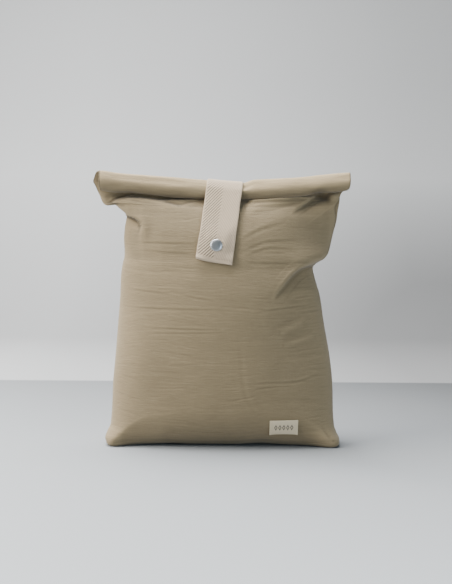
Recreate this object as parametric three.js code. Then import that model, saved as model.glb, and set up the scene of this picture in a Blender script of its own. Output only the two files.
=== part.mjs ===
// Roll-top lunch bag: two cloth panels sewn into a sack with boxed corners, rolled down at the mouth
// and held by a webbing strap with a metal snap. Millimetres, +Z up, front towards -Y. The origin is
// on the ground, under the middle of the bag.
import * as THREE from "three";

// ---- Driving dimensions ----
const CLOTH = 1.3; // thickness of the body cloth
const GAP = 0.3; // clearance between pieces that lie against each other
const COLUMNS = 20; // cells across a panel, from side seam to side seam
const SECTION_STEPS = 160; // fine steps that measure a section's length

const BASE = {
  frontLift: 5.5, // how far the front edge of the base stands off the ground in its middle
  liftHeight: 40, // height up the wall where that lift has died away
  seamReach: 0.5, // share of the bag's width that the innermost row of the base spans
};

const ROLL = {
  centre: 273.5, // height of the roll's axis in the middle of the bag
  leftSmile: 9, // rise of the roll's ends over its middle
  rightSmile: 10.5,
  smilePower: 1.8,
  smileStart: 234, // level where the cloth below starts to follow that rise
  halfDepth: 8, // front to back, to the middle of the outer pair of layers
  halfHeight: 11.8, // up and down, to the middle of the outer pair of layers
  endThinner: 2.6, // how much the half-height falls towards the ends
  pitch: 3.5, // inward step of the spiral in one turn
  stepsPerTurn: 12,
  rows: 19, // rows of the spiral, a little over a turn and a half
  left: -133, // ends of the wrap at its front
  right: 137,
  rearReach: 8, // how much further left the rising cloth behind the roll reaches
};

const STRAP = {
  width: 38,
  thickness: 1.8,
  hem: 8, // length of the doubled end
  columns: 4,
  sewnFrom: 206, // level on the back of its sewn end
  frontLevels: [238, 231, 223, 214, 208, 205, 204.6, 201, 197.4], // down the front to its free end
  layGap: 0.5, // clearance where it lies on the back and over the roll
  restGap: 1.2, // clearance where it first meets the front of the bag
  topX: 2.4, // sideways place where it crosses the roll
  lean: 0.115, // sideways drift to the left for each millimetre down the front
};

const SNAP = {
  height: 214, // place of its axis on the front
  gap: 3.6, // clearance between the strap and the panel there, which the stud and socket fill
  capRadius: 6.5,
  capRise: 2.1,
  socketRadius: 5,
  socketThickness: 1.4,
  studRadius: 4.4,
  studThickness: 0.9,
  sides: 24,
};

const LABEL = {
  x: 65.6, // place of its middle on the front
  height: 24,
  width: 30,
  tall: 14.6,
  thickness: 1,
  gap: 0.5, // clearance to the front panel
  halfBag: 120, // half the width of the bag at its height
  columns: 8,
  rows: 3,
};

// ---- Shape of the body, one row for each level ----
// level: height; left, right: side seams; front, back: half-depths in the middle;
// end: half-depth that the section would keep at its ends; power: how square the section is
const BODY_COLUMNS = ["level", "left", "right", "front", "back", "end", "power"];
const BODY_ROWS = [
  [4.5, -123, 126, 41.5, 39, 38, 7],
  [8, -124, 125.6, 42, 39.5, 37, 6],
  [14, -122.4, 122.8, 42.6, 40.2, 37, 4.6],
  [21, -119.4, 120.8, 43.6, 41.2, 37, 3.8],
  [38, -118.6, 119.8, 46, 43.7, 39, 3],
  [64, -118, 119.4, 48, 45.5, 42, 2.5],
  [92, -115.6, 116.8, 49, 46.5, 45, 2.3],
  [130, -112.7, 110.2, 49, 46, 46, 2.15],
  [161, -110.5, 105.6, 47, 43.5, 45, 2.1],
  [180, -109.8, 100, 43.8, 39.5, 43, 2.1],
  [191, -108.6, 98, 40.6, 36.5, 40, 2.15],
  [196, -107.6, 101.5, 39, 35, 38, 2.2],
  [202, -106.2, 110.5, 36.6, 32.8, 36, 2.2],
  [208, -106, 114.6, 34, 30.4, 34, 2.25],
  [220, -107, 117.8, 28.8, 25.4, 28, 2.35],
  [232, -105.8, 120.6, 23, 19.6, 22, 2.5],
  [242, -104.3, 123.2, 18, 13.6, 17, 2.7],
  [245.5, -104.2, 123.7, 16.2, 11.6, 15, 2.75],
  [249, -111.5, 124, 14.2, 9.4, 12, 2.8],
  [252, -118, 124.6, 12.2, 7.4, 10, 2.9],
  [254.5, -124, 125.2, 10.2, 5.8, 8, 3],
  [257, -130.5, 125.8, 7.6, 4.2, 6, 3],
  [261, -134, 126.4, 2.6, 2, 2.6, 3],
  [265, -136.5, 128.5, 0.6, 0.6, 0.6, 3],
  [269, -138.5, 133.5, 0, 0, 0, 3],
];

// Shift that brings the middle of the finished bag over the origin
const PLACE = { x: 1.7, y: 1.3 };

// Levels at which a panel has a row of points
const WALL_LEVELS = [
  4.5, 9, 15, 23, 35, 50, 68, 88, 108, 128, 146, 161, 173, 182, 189, 195, 201, 208, 218, 228, 237,
  244, 249, 253, 257, 261, 265, 269,
];

// Rows of the base, from the middle seam outwards: share of the depth, share of the width
const BASE_ROWS = [
  { depth: 0, width: BASE.seamReach, lift: 0 },
  { depth: 0.4, width: 0.72, lift: 0 },
  { depth: 0.74, width: 0.9, lift: 0.12 },
  { depth: 0.9, width: 0.972, lift: 0.55 },
];
const TURN_ROW = { depth: 0.97, width: 0.992, lift: 0.85, height: 1.7 };

// ---- Main folds of the front ----
// A fold is a line of (x, height) points: the cloth stands proud by rise above it, over the reach
// called above, and falls back by drop below it, over the reach called below.
const FOLDS = {
  shoulder: {
    line: [[104, 194], [90, 190], [79, 182], [64, 173], [56, 163]],
    rise: 3.6, above: 22, drop: 4.4, below: 12,
  },
  tuck: {
    line: [[-108, 248], [-103, 246], [-94, 242.5], [-87, 237.5], [-85, 230]],
    rise: 2.4, above: 9, drop: 3.6, below: 11,
  },
  underRoll: {
    line: [[-84, 262], [-60, 258], [-43, 254], [-24, 258]],
    rise: 1, above: 5, drop: 1, below: 9,
  },
  leftCorner: {
    line: [[-122, 4], [-108, 16], [-98, 27]],
    rise: 1.4, above: 9, drop: 1.6, below: 10,
  },
  rightCorner: {
    line: [[98, 24], [108, 14], [121, 5]],
    rise: 1.2, above: 9, drop: 1.6, below: 10,
  },
};

// ---- Curves and tables ----
const clamp01 = (t) => Math.min(1, Math.max(0, t));
const smoothstep = (from, to, t) => {
  const s = clamp01((t - from) / (to - from));
  return s * s * (3 - 2 * s);
};
const mix = (a, b, t) => a + (b - a) * t;

// Slopes of a curve through the rows that never overshoots between two of them
function monotoneSlopes(keys, values) {
  const secants = keys.slice(1).map((key, i) => (values[i + 1] - values[i]) / (key - keys[i]));
  return keys.map((_, i) => {
    if (i === 0) return secants[0];
    if (i === keys.length - 1) return secants[i - 1];
    const [before, after] = [secants[i - 1], secants[i]];
    return before * after <= 0 ? 0 : (2 * before * after) / (before + after);
  });
}

function curveThrough(keys, values) {
  const slopes = monotoneSlopes(keys, values);
  return (key) => {
    const last = keys.length - 2;
    const i = Math.min(last, Math.max(0, keys.findIndex((k) => k > key) - 1));
    const j = key >= keys[last + 1] ? last : i;
    const span = keys[j + 1] - keys[j];
    const t = clamp01((key - keys[j]) / span);
    const [t2, t3] = [t * t, t * t * t];
    return (
      values[j] * (2 * t3 - 3 * t2 + 1) + slopes[j] * span * (t3 - 2 * t2 + t) +
      values[j + 1] * (3 * t2 - 2 * t3) + slopes[j + 1] * span * (t3 - t2)
    );
  };
}

const levels = BODY_ROWS.map((row) => row[0]);
const body = Object.fromEntries(
  BODY_COLUMNS.map((name, i) => [name, curveThrough(levels, BODY_ROWS.map((row) => row[i]))]),
);

// ---- Sections of the body ----
// Half-depth at a place across the section, from -1 at the left seam to 1 at the right one
function halfDepth(across, level, middle) {
  const end = Math.min(body.end(level), middle);
  const crown = mix(middle, end, across * across);
  const power = body.power(level);
  return crown * Math.pow(Math.max(0, 1 - Math.pow(Math.abs(across), power)), 1 / power);
}

// Points of one panel's section at even steps of its own length. side is -1 for the front panel and
// 1 for the back one. Each point is { x, y, across }.
function sectionPoints(level, side, columns) {
  const middle = side < 0 ? body.front(level) : body.back(level);
  const [left, right] = [body.left(level), body.right(level)];
  const offset = seamOffset(middle);
  const fine = [];
  let length = 0;
  for (let i = 0; i <= SECTION_STEPS; i += 1) {
    const across = Math.sin((Math.PI / 2) * ((2 * i) / SECTION_STEPS - 1));
    const x = mix(left, right, (across + 1) / 2);
    const y = side * (offset + halfDepth(across, level, middle));
    if (i > 0) length += Math.hypot(x - fine[i - 1].x, y - fine[i - 1].y);
    fine.push({ x, y, across, length });
  }
  const points = [];
  let i = 1;
  for (let column = 0; column <= columns; column += 1) {
    const wanted = (length * column) / columns;
    while (i < SECTION_STEPS && fine[i].length < wanted) i += 1;
    const [a, b] = [fine[i - 1], fine[i]];
    const t = clamp01((wanted - a.length) / (b.length - a.length));
    points.push({ x: mix(a.x, b.x, t), y: mix(a.y, b.y, t), across: mix(a.across, b.across, t) });
  }
  return points;
}

// Distance of a panel's middle surface from the seam plane: the edges of the two panels face each
// other on a round section, and the panels lie on each other on a flat one
function seamOffset(middle) {
  const flat = (CLOTH + GAP) / 2;
  return mix(flat, GAP, clamp01(middle / 12));
}

// Rise of a level at a place across the bag, where the cloth follows the roll's smile
function smileAt(across, level) {
  const rise = across < 0 ? ROLL.leftSmile : ROLL.rightSmile;
  return rise * smoothstep(ROLL.smileStart, ROLL.centre, level) * Math.abs(across) ** ROLL.smilePower;
}

// How far the folds push the front cloth forward at (x, z)
function foldPush(x, z) {
  let push = 0;
  for (const fold of Object.values(FOLDS)) {
    let best = { distance: Infinity, along: 0, side: 0 };
    const spans = fold.line.length - 1;
    for (let i = 0; i < spans; i += 1) {
      const [[x0, z0], [x1, z1]] = [fold.line[i], fold.line[i + 1]];
      const [dx, dz] = [x1 - x0, z1 - z0];
      const t = clamp01(((x - x0) * dx + (z - z0) * dz) / (dx * dx + dz * dz));
      const [ex, ez] = [x - x0 - dx * t, z - z0 - dz * t];
      const distance = Math.hypot(ex, ez);
      const side = Math.sign((dx * ez - dz * ex) * Math.sign(dx));
      if (distance < best.distance) best = { distance, along: (i + t) / spans, side };
    }
    const fade = Math.sqrt(Math.max(0, Math.sin(Math.PI * mix(0.12, 0.94, best.along))));
    const above = fold.rise * Math.exp(-best.distance / fold.above);
    const below = fold.drop * Math.exp(-best.distance / fold.below);
    const reach = clamp01(1.6 - best.distance / (2 * fold.above));
    push += fade * reach * (best.side >= 0 ? above : -below) * Math.min(1, best.distance / 2);
  }
  return push;
}

// ---- Points of the two panels ----
// One point of the wall, with the folds and the lifted front edge
function wallPoint(point, level, side) {
  const lift = side < 0 ? frontLift(point.across) * (1 - smoothstep(0, BASE.liftHeight, level)) : 0;
  const z = level + lift + smileAt(point.across, level);
  const push = side < 0 ? foldPush(point.x, z) * clamp01(body.front(level) / 10) : 0;
  return new THREE.Vector3(point.x, point.y - push, z);
}

function frontLift(across) {
  return BASE.frontLift * (1 - across ** 4);
}

function wallRow(level, side, columns = COLUMNS) {
  return sectionPoints(level, side, columns).map((point) => wallPoint(point, level, side));
}

function baseRow(row, side) {
  const level = BODY_ROWS[0][0];
  const centre = (body.left(level) + body.right(level)) / 2;
  const height = row.height ?? CLOTH / 2;
  return sectionPoints(level, side, COLUMNS).map((point) => {
    const lift = side < 0 ? frontLift(point.across) * row.lift : 0;
    const y = side * mix(GAP, Math.abs(point.y), row.depth);
    return new THREE.Vector3(mix(centre, point.x, row.width), y, height + lift);
  });
}

// One point of the rolled top: an oval spiral of straight runs and round bends that starts behind,
// goes up and over to the front. away is the distance outwards from the middle of the pair of layers.
function rollPoint(angle, across, away) {
  const bend = ROLL.halfDepth - (ROLL.pitch * angle) / (2 * Math.PI) + away;
  const run = ROLL.halfHeight - ROLL.halfDepth - ROLL.endThinner * across * across;
  const rear = angle < Math.PI / 2 ? ROLL.rearReach * Math.cos(angle) ** 2 : 0;
  const x = across < 0 ? -across * (ROLL.left - rear) : across * ROLL.right;
  const z = ROLL.centre + smileAt(across, ROLL.centre) + run * Math.sign(Math.sin(angle));
  return new THREE.Vector3(x, -ROLL.halfDepth + bend * Math.cos(angle), z + bend * Math.sin(angle));
}

// Angles of the spiral's rows: they miss the straight runs, so that each bend has its own points
const rollAngle = (i) => ((i + 0.5) * 2 * Math.PI) / ROLL.stepsPerTurn;

function rollRow(i, side) {
  const away = (side * (CLOTH + GAP)) / 2;
  return Array.from({ length: COLUMNS + 1 }, (_, c) =>
    rollPoint(rollAngle(i), (2 * c) / COLUMNS - 1, away));
}

function panelRows(side) {
  return [
    ...BASE_ROWS.map((row) => baseRow(row, side)),
    baseRow(TURN_ROW, side),
    ...WALL_LEVELS.map((level) => wallRow(level, side)),
    ...Array.from({ length: ROLL.rows }, (_, i) => rollRow(i, side)),
  ];
}

// ---- Solids ----
// Unit normals of a grid of points, from the differences between neighbours
function gridNormals(rows) {
  const at = (r, c) => rows[Math.min(rows.length - 1, Math.max(0, r))][c];
  return rows.map((row, r) =>
    row.map((_, c) => {
      const along = at(r + 1, c).clone().sub(at(r - 1, c));
      const before = row[Math.max(0, c - 1)];
      const after = row[Math.min(row.length - 1, c + 1)];
      return after.clone().sub(before).cross(along).normalize();
    }),
  );
}

// Closed solid between two grids of points: front faces along the grid's normal, back against it
function solidBetween(front, back) {
  const [height, width] = [front.length, front[0].length];
  const position = [...front.flat(), ...back.flat()].flatMap((point) => point.toArray());
  const count = height * width;
  const index = [];
  const quad = (a, b, c, d) => index.push(a, b, c, a, c, d);
  for (let r = 0; r < height - 1; r += 1) {
    for (let c = 0; c < width - 1; c += 1) {
      const [a, b] = [r * width + c, r * width + c + 1];
      const [d, e] = [a + width, b + width];
      quad(a, b, e, d);
      quad(count + b, count + a, count + d, count + e);
    }
  }
  const rim = (a, b) => quad(b, a, count + a, count + b);
  for (let c = 0; c < width - 1; c += 1) {
    rim(c, c + 1);
    rim((height - 1) * width + c + 1, (height - 1) * width + c);
  }
  for (let r = 0; r < height - 1; r += 1) {
    rim((r + 1) * width, r * width);
    rim(r * width + width - 1, (r + 1) * width + width - 1);
  }
  const geometry = new THREE.BufferGeometry();
  geometry.setAttribute("position", new THREE.Float32BufferAttribute(position, 3));
  geometry.setIndex(index);
  geometry.computeVertexNormals();
  return geometry;
}

function offsetGrid(rows, normals, distance) {
  return rows.map((row, r) =>
    row.map((point, c) => point.clone().addScaledVector(normals[r][c], distance)));
}

// A panel: its grid thickened to both sides, flat under the base and kept on its side of the seams
function panelSolid(side) {
  const rows = panelRows(side);
  const normals = gridNormals(rows);
  BASE_ROWS.forEach((_, r) => normals[r].forEach((normal) => normal.set(0, 0, side)));
  const sewnRows = BASE_ROWS.length + 1 + WALL_LEVELS.length;
  const sign = side < 0 ? 1 : -1;
  const keepToItsSide = (grid) => {
    grid.slice(0, sewnRows).flat().forEach((point) => {
      point.y = side * Math.max(GAP / 2, side * point.y);
      point.z = Math.max(0, point.z);
    });
    return grid;
  };
  const outside = keepToItsSide(offsetGrid(rows, normals, (sign * CLOTH) / 2));
  const inside = keepToItsSide(offsetGrid(rows, normals, (-sign * CLOTH) / 2));
  return side < 0 ? solidBetween(outside, inside) : solidBetween(inside, outside);
}

// Middle line of the strap seen from the side, from its sewn end on the back, over the roll and down
// to its free end on the front. Its rows keep step with those of the panels, so that it stays clear.
function strapLine() {
  const half = STRAP.thickness / 2;
  const wallLine = (side, heights, clearance) => {
    const middles = heights.map((level) => {
      const depth = side < 0 ? body.front(level) : body.back(level);
      return new THREE.Vector3(0, side * (seamOffset(depth) + depth), level);
    });
    return middles.map((point, i) => {
      const before = middles[Math.max(0, i - 1)];
      const after = middles[Math.min(middles.length - 1, i + 1)];
      const slope = after.clone().sub(before).normalize();
      const outward = new THREE.Vector3(0, side * slope.z, -side * slope.y);
      if (outward.y * side < 0) outward.negate();
      return point.clone().addScaledVector(outward, CLOTH / 2 + clearance(heights[i]) + half);
    });
  };
  const overRoll = (CLOTH + GAP) / 2 + CLOTH / 2 + STRAP.layGap + half;
  const arc = Array.from({ length: ROLL.stepsPerTurn / 2 }, (_, i) =>
    rollPoint(rollAngle(i), 0, overRoll));
  const backLevels = WALL_LEVELS.filter((level) => level >= STRAP.sewnFrom);
  const back = wallLine(1, backLevels, () => STRAP.layGap);
  const front = wallLine(-1, STRAP.frontLevels, (level) =>
    mix(STRAP.restGap, SNAP.gap, smoothstep(STRAP.frontLevels[0], SNAP.height, level)));
  return [...back, ...arc, ...front];
}

// Frames along the strap: its middle, its directions along, across and outward, and the length of
// webbing from there to its free end. Down the front it leans sideways.
function strapFrames() {
  const line = strapLine();
  const top = line.reduce((best, point, i) => (point.z > line[best].z ? i : best), 0);
  let length = 0;
  const lengths = line.map((point, i) => {
    if (i > 0) length += point.distanceTo(line[i - 1]);
    return length;
  });
  line.forEach((point, i) => {
    point.x = STRAP.topX - STRAP.lean * Math.max(0, lengths[i] - lengths[top]);
  });
  return line.map((centre, i) => {
    const before = line[Math.max(0, i - 1)];
    const after = line[Math.min(line.length - 1, i + 1)];
    const along = after.clone().sub(before).normalize();
    const across = new THREE.Vector3(1, 0, 0).addScaledVector(along, -along.x).normalize();
    return { centre, along, across, outward: along.clone().cross(across), toEnd: length - lengths[i] };
  });
}

// A row of points across the strap. On the roll it follows the rise of the roll's ends.
function strapRow(frame, out) {
  return Array.from({ length: STRAP.columns + 1 }, (_, c) => {
    const point = frame.centre.clone()
      .addScaledVector(frame.across, STRAP.width * (c / STRAP.columns - 0.5))
      .addScaledVector(frame.outward, out);
    point.z += smileAt(point.x / ROLL.right, Math.min(point.z, ROLL.centre));
    return point;
  });
}

function strapSolid(frames) {
  const half = STRAP.thickness / 2;
  const hemStart = frames.findIndex((frame) => frame.toEnd <= STRAP.hem);
  const outer = frames.map((frame) => strapRow(frame, half));
  const inner = frames.map((frame, i) =>
    strapRow(frame, i < hemStart ? -half : -half - STRAP.thickness));
  return solidBetween(inner, outer);
}

// Places a turned piece on the strap's line at the snap, a given distance out from its middle
function onSnapAxis(mesh, frames, out) {
  const frame = frames.reduce((best, next) => {
    const isFront = next.centre.y < -ROLL.halfDepth;
    const nearer = Math.abs(next.centre.z - SNAP.height) < Math.abs(best.centre.z - SNAP.height);
    return isFront && nearer ? next : best;
  }, frames[frames.length - 1]);
  mesh.quaternion.setFromUnitVectors(new THREE.Vector3(0, 1, 0), frame.outward);
  mesh.position.copy(frame.centre).addScaledVector(frame.outward, out);
  return mesh;
}

function turned(profile) {
  return new THREE.LatheGeometry(profile.map(([r, y]) => new THREE.Vector2(r, y)), SNAP.sides);
}

function capGeometry() {
  const { capRadius, capRise } = SNAP;
  const dome = Array.from({ length: 6 }, (_, i) => {
    const angle = (i / 6) * (Math.PI / 2);
    return [capRadius * 0.86 * Math.cos(angle), capRise * (0.4 + 0.6 * Math.sin(angle))];
  });
  return turned([[0, 0], [capRadius, 0], [capRadius, capRise * 0.4], ...dome, [0, capRise]]);
}

function discGeometry(radius, thickness) {
  return turned([[0, 0], [radius, 0], [radius, thickness], [0, thickness]]);
}

// Level of the wall whose cloth, lifted with the front edge, lies at a given height
function levelAtHeight(z, across) {
  let level = z;
  for (let i = 0; i < 6; i += 1) {
    level = z - frontLift(across) * (1 - smoothstep(0, BASE.liftHeight, level));
  }
  return level;
}

// Label: a small flat piece that follows the front panel
function labelSolid() {
  const rows = Array.from({ length: LABEL.rows + 1 }, (_, r) => {
    const z = LABEL.height + LABEL.tall * (r / LABEL.rows - 0.5);
    return Array.from({ length: LABEL.columns + 1 }, (_, c) => {
      const x = LABEL.x + LABEL.width * (c / LABEL.columns - 0.5);
      const level = levelAtHeight(z, x / LABEL.halfBag);
      const [left, right] = [body.left(level), body.right(level)];
      const across = (2 * (x - left)) / (right - left) - 1;
      const middle = body.front(level);
      const y = -(seamOffset(middle) + halfDepth(across, level, middle));
      return wallPoint({ x, y, across }, level, -1);
    });
  });
  const normals = gridNormals(rows);
  const near = CLOTH / 2 + LABEL.gap;
  const far = near + LABEL.thickness;
  return solidBetween(offsetGrid(rows, normals, far), offsetGrid(rows, normals, near));
}

// ---- The bag ----
const COLOURS = { cloth: 0xb3a488, webbing: 0xd9cfc3, metal: 0xa7a9ac, label: 0xe4dccb };

function piece(name, geometry, color, roughness, metalness = 0) {
  const material = new THREE.MeshStandardMaterial({ color, roughness, metalness });
  const mesh = new THREE.Mesh(geometry, material);
  mesh.name = name;
  return mesh;
}

const frames = strapFrames();
const strapFace = STRAP.thickness / 2 + GAP;
const socketBack = -strapFace - SNAP.socketThickness;
const studBack = socketBack - GAP - SNAP.studThickness;

const group = new THREE.Group();
group.position.set(PLACE.x, PLACE.y, 0);
group.add(piece("front_panel", panelSolid(-1), COLOURS.cloth, 0.9));
group.add(piece("back_panel", panelSolid(1), COLOURS.cloth, 0.9));
group.add(piece("strap", strapSolid(frames), COLOURS.webbing, 0.85));
group.add(onSnapAxis(piece("snap_cap", capGeometry(), COLOURS.metal, 0.35, 1), frames, strapFace));
group.add(onSnapAxis(
  piece("snap_socket", discGeometry(SNAP.socketRadius, SNAP.socketThickness), COLOURS.metal, 0.4, 1),
  frames, socketBack,
));
group.add(onSnapAxis(
  piece("snap_stud", discGeometry(SNAP.studRadius, SNAP.studThickness), COLOURS.metal, 0.4, 1),
  frames, studBack,
));
group.add(piece("label", labelSolid(), COLOURS.label, 0.8));

export default group;
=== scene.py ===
"""Roll-top lunch bag: its cloth, webbing strap, snap and label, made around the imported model.

Shapes are worked out in millimetres in the bag's own frame, with +Z up and the front towards -Y, and
put into the meshes in metres. Each shape is a function on a grid of numpy arrays.
"""

import math

import bpy
import numpy as np
from bpy.props import FloatProperty, FloatVectorProperty, PointerProperty
from mathutils import Matrix, Vector


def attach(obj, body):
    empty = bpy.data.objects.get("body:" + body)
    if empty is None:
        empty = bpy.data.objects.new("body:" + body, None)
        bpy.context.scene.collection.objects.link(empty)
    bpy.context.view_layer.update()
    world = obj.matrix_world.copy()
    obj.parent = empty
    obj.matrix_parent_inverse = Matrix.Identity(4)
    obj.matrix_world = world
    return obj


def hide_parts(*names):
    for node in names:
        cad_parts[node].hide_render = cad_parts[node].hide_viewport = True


bl_info = {
    "name": "Roll-top lunch bag",
    "version": (1, 0, 0),
    "blender": (4, 5, 0),
    "location": "3D View > Sidebar > Lunch bag",
    "description": "Builds a rolled cloth lunch bag with its strap, snap and label",
    "category": "Add Mesh",
}

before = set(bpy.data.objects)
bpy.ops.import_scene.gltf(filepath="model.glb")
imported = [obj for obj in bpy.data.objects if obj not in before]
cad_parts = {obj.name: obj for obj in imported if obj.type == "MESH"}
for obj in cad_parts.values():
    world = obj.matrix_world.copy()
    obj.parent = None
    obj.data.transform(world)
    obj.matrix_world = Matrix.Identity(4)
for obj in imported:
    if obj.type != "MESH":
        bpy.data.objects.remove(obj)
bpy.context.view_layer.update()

MM = 0.001
PLACE = np.array([1.7, 1.3, 0.0])  # brings the middle of the bag over the origin
ROOT = "root"

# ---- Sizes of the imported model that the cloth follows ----
PACKED_CLOTH = 1.3
PACKED_GAP = 0.3
PAIR = 0.55  # half the distance between the two panels' middles where they lie on each other
FLAT_DEPTH = 12.0  # the half-depth from which the bag counts as full
FRONT_LIFT = 1.2
FRONT_WAVES = ((1.2, -0.47, 0.1), (2.4, 0.34, 0.13))  # how high, at what share across, how wide
LIFT_HEIGHT = 40.0
BOTTOM_LEVEL = 5.0
TOP_LEVEL = 272.0
WALL_ROWS = 285
PANEL_COLUMNS = 118
SEAM_COLUMNS = np.array([0.0003, 0.0012, 0.0026, 0.0045, 0.0075])  # extra columns, as shares across
EVEN_COLUMNS = (0.012, 0.988)  # the shares across between which the columns are even
SECTION_TURNS = 2400  # places round the section at which it is measured
BASE_DEPTH = 41.0  # half the depth of the base
BASE_HALF_WIDTH = 120.0
BASE_RINGS = np.linspace(0.001, 0.87, 12)  # shares of the base's depth
CORNER_ANGLES = np.array([82.0, 66, 50, 34, 18])  # where rows go round the rounded edge of the base

ROLL_CENTRE = 273.5
ROLL_HALF_WIDTH = 137.0
ROLL_SMILE = (10.0, 8.9)
SMILE_POWER = (1.5, 1.8)
SMILE_START = 234.0
ROLL_HALF_DEPTH = 8.0
ROLL_HALF_HEIGHT = 11.8
ROLL_END_THINNER = (0.8, 0.2)
ROLL_PITCH = 3.5
ROLL_ANGLES = np.concatenate([np.arange(4.0, 300, 5), np.arange(300.0, 556, 12)])

# level: height; left, right: side seams; front, back: half-depths in the middle;
# end: half-depth that the section would keep at its ends; power: how square the section is
BODY_COLUMNS = ("level", "left", "right", "front", "back", "end", "power")
BODY_ROWS = np.array([
    [4.5, -123.6, 126.6, 38.2, 39, 38, 7],
    [8, -125, 126.6, 40.8, 39.5, 37, 6],
    [14, -123, 124, 42.6, 40.2, 37, 4.6],
    [21, -120, 121.8, 43.8, 41.2, 37, 3.8],
    [38, -118.8, 120.8, 46, 43.7, 39, 3],
    [64, -118, 120.2, 48, 45.5, 42, 2.5],
    [92, -115.6, 117.4, 49, 46.5, 45, 2.3],
    [130, -112.7, 110.6, 49, 46, 46, 2.15],
    [161, -110.5, 105.6, 47, 43.5, 45, 2.1],
    [180, -109.8, 100, 43.8, 39.5, 43, 2.1],
    [191, -108.6, 98, 40.6, 36.5, 40, 2.15],
    [196, -107.6, 101.5, 39, 35, 38, 2.2],
    [202, -106.2, 110.5, 36.6, 32.8, 36, 2.2],
    [208, -106, 114.6, 34, 30.4, 34, 2.25],
    [220, -106.6, 117.8, 28.8, 25.4, 28, 2.35],
    [232, -105.8, 120.6, 23, 19.6, 22, 2.5],
    [242, -104.3, 123.2, 18, 13.6, 17, 2.7],
    [245.5, -104.2, 123.7, 16.2, 11.6, 15, 2.75],
    [248, -107.2, 123.9, 14.8, 10, 13, 2.8],
    [251, -112.4, 124.4, 12.9, 8.1, 10.8, 2.87],
    [253.2, -116, 124.9, 11.3, 6.6, 9, 2.95],
    [254.4, -120, 125.2, 10.1, 5.7, 8, 2.97],
    [255, -129.4, 125.4, 9.5, 5.3, 7.5, 2.98],
    [258, -132, 125.9, 6.4, 3.6, 5, 3],
    [261, -134, 126.4, 2.6, 2, 2.6, 3],
    [265, -136.5, 128.5, 0.6, 0.6, 0.6, 3],
    [269, -138.5, 133.5, 0, 0, 0, 3],
    [272, -140.5, 135.5, 0, 0, 0, 3],
])
# share of the base's depth, and the share of its width there
BASE_WIDTH = np.array([[0, 0.5], [0.4, 0.72], [0.74, 0.9], [0.9, 0.972], [0.97, 0.992], [1, 1]])
# the same share for the depth where the lower front goes back under the bag
BASE_TUCKED = np.array([[0, 0], [0.4, 0.25], [0.7, 0.46], [0.87, 0.62], [0.93, 0.78], [1, 1]])
# the same share for the lift of the front edge
BASE_LIFT = np.array([[0, 0], [0.4, 0.02], [0.7, 0.3], [0.86, 0.82], [0.95, 0.97], [1, 1]])
# level and how far forward of the bag's widest place the side seam runs there
SEAM_LEFT = np.array([[0, 0], [20, 0], [60, -2], [200, -2], [240, 0], [272, 0]])
SEAM_RIGHT = np.array([
    [0, 0], [14, 0], [34, 9], [90, 6], [150, 4], [186, 4], [205, 7], [225, 4], [244, 5], [252, 6],
    [262, 0], [272, 0],
])
# angle round the roll and how far its right end reaches there
ROLL_RIGHT = np.array([
    [0, 135], [90, 136.2], [150, 136.4], [185, 136], [215, 135], [245, 130], [270, 125], [360, 122],
    [560, 118],
])
# the same for its left end
ROLL_LEFT = np.array([[0, 141], [60, 137], [100, 133], [200, 133], [270, 131], [360, 129], [560, 125]])
ROLL_TILT = (23.0, 15.0, 65.0)  # how many degrees the roll leans back, at what x, over what width
ROLL_PRESS = (1.3, 135, 34)  # the roll's upper front: how far it is pressed in, at what angle, how wide
# Where the roll's underside is pinched up (or hangs down): how far, at what x, over what width
ROLL_NIPS = ((2.6, 103, 11), (-2.0, -119, 15))
NIPS_FADE = (0.1, -0.9)  # sines of the angles between which a nip grows to its full height
# How far the roll's surface wanders in and out, and the waves in half its width and in a radian
ROLL_UNEVEN = (0.5, 5, 1.6)
STRAP_DENT = 2.2  # how far the strap presses the top of the roll down
STRAP_DENT_WIDTH = 25.0
DENT_FADE = (-0.2, 0.6)  # sines of the angles between which the dent grows to its full depth

# Folds of the front: a line of (x, height) points, above, its reach, below, its reach, soft and open.
# The cloth moves forward by above on the line's upper side and by below on its lower side, dying away
# over those reaches. soft is the width of the turn between the two, and open is how far the fold is
# open where its line starts.
FOLDS = (
    ([(106, 199), (94, 194.5), (83, 190.5), (75, 185), (66, 175), (57, 164), (52, 154)],
     8.0, 9, -6.5, 12, 1.8, 0.5),
    ([(-118, 249), (-104, 246.4), (-97, 244.2), (-91.5, 241.3), (-87.6, 237.5), (-86.6, 232), (-88.5, 226)],
     2.6, 9, -14.0, 4.4, 1.0, 0.8),
    ([(-121, 258.6), (-114, 262.8), (-108, 265.5), (-101, 267.4), (-94, 268.6)],
     -7.0, 2.6, 1.5, 8, 0.6, 0.5),
    ([(-84, 264), (-68, 261), (-52, 257), (-46, 256), (-34, 259.5), (-20, 263)],
     -4.2, 8, 1.4, 9, 1.0, 0.0),
    ([(111, 277), (103, 271), (91, 262.5), (80, 255), (70, 248)],
     2.0, 6, -9.0, 10, 1.6, 1.0),
    ([(124, 4), (116, 12), (106, 24)],
     1.0, 6, -1.0, 7, 1.6, 0.4),
)
FOLD_RISEN = 0.3  # share of a fold's line by which it has come up from its open start
FOLD_FALLING = (0.35, 0.97)  # shares of the line between which it dies away
# Painted shade darkens a fold inside where it turns at least as sharply and goes back at least as far as this
SHARP_TURN = 1.0
SHARP_BACK = 5.0
FOLD_PAINTED_SHADE_CORE = 0.8  # how far the darkest place reaches from the line
FOLD_PAINTED_SHADE_FADE = 2.0  # over what distance it then fades
# The front may be pushed back by ROOM_SHARE of its depth and of ROOM_BEHIND of the back's
ROOM_SHARE = 0.85
ROOM_BEHIND = 0.6
FADE_BEHIND = 12.0  # how far behind the side seams the folds have faded out
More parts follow.
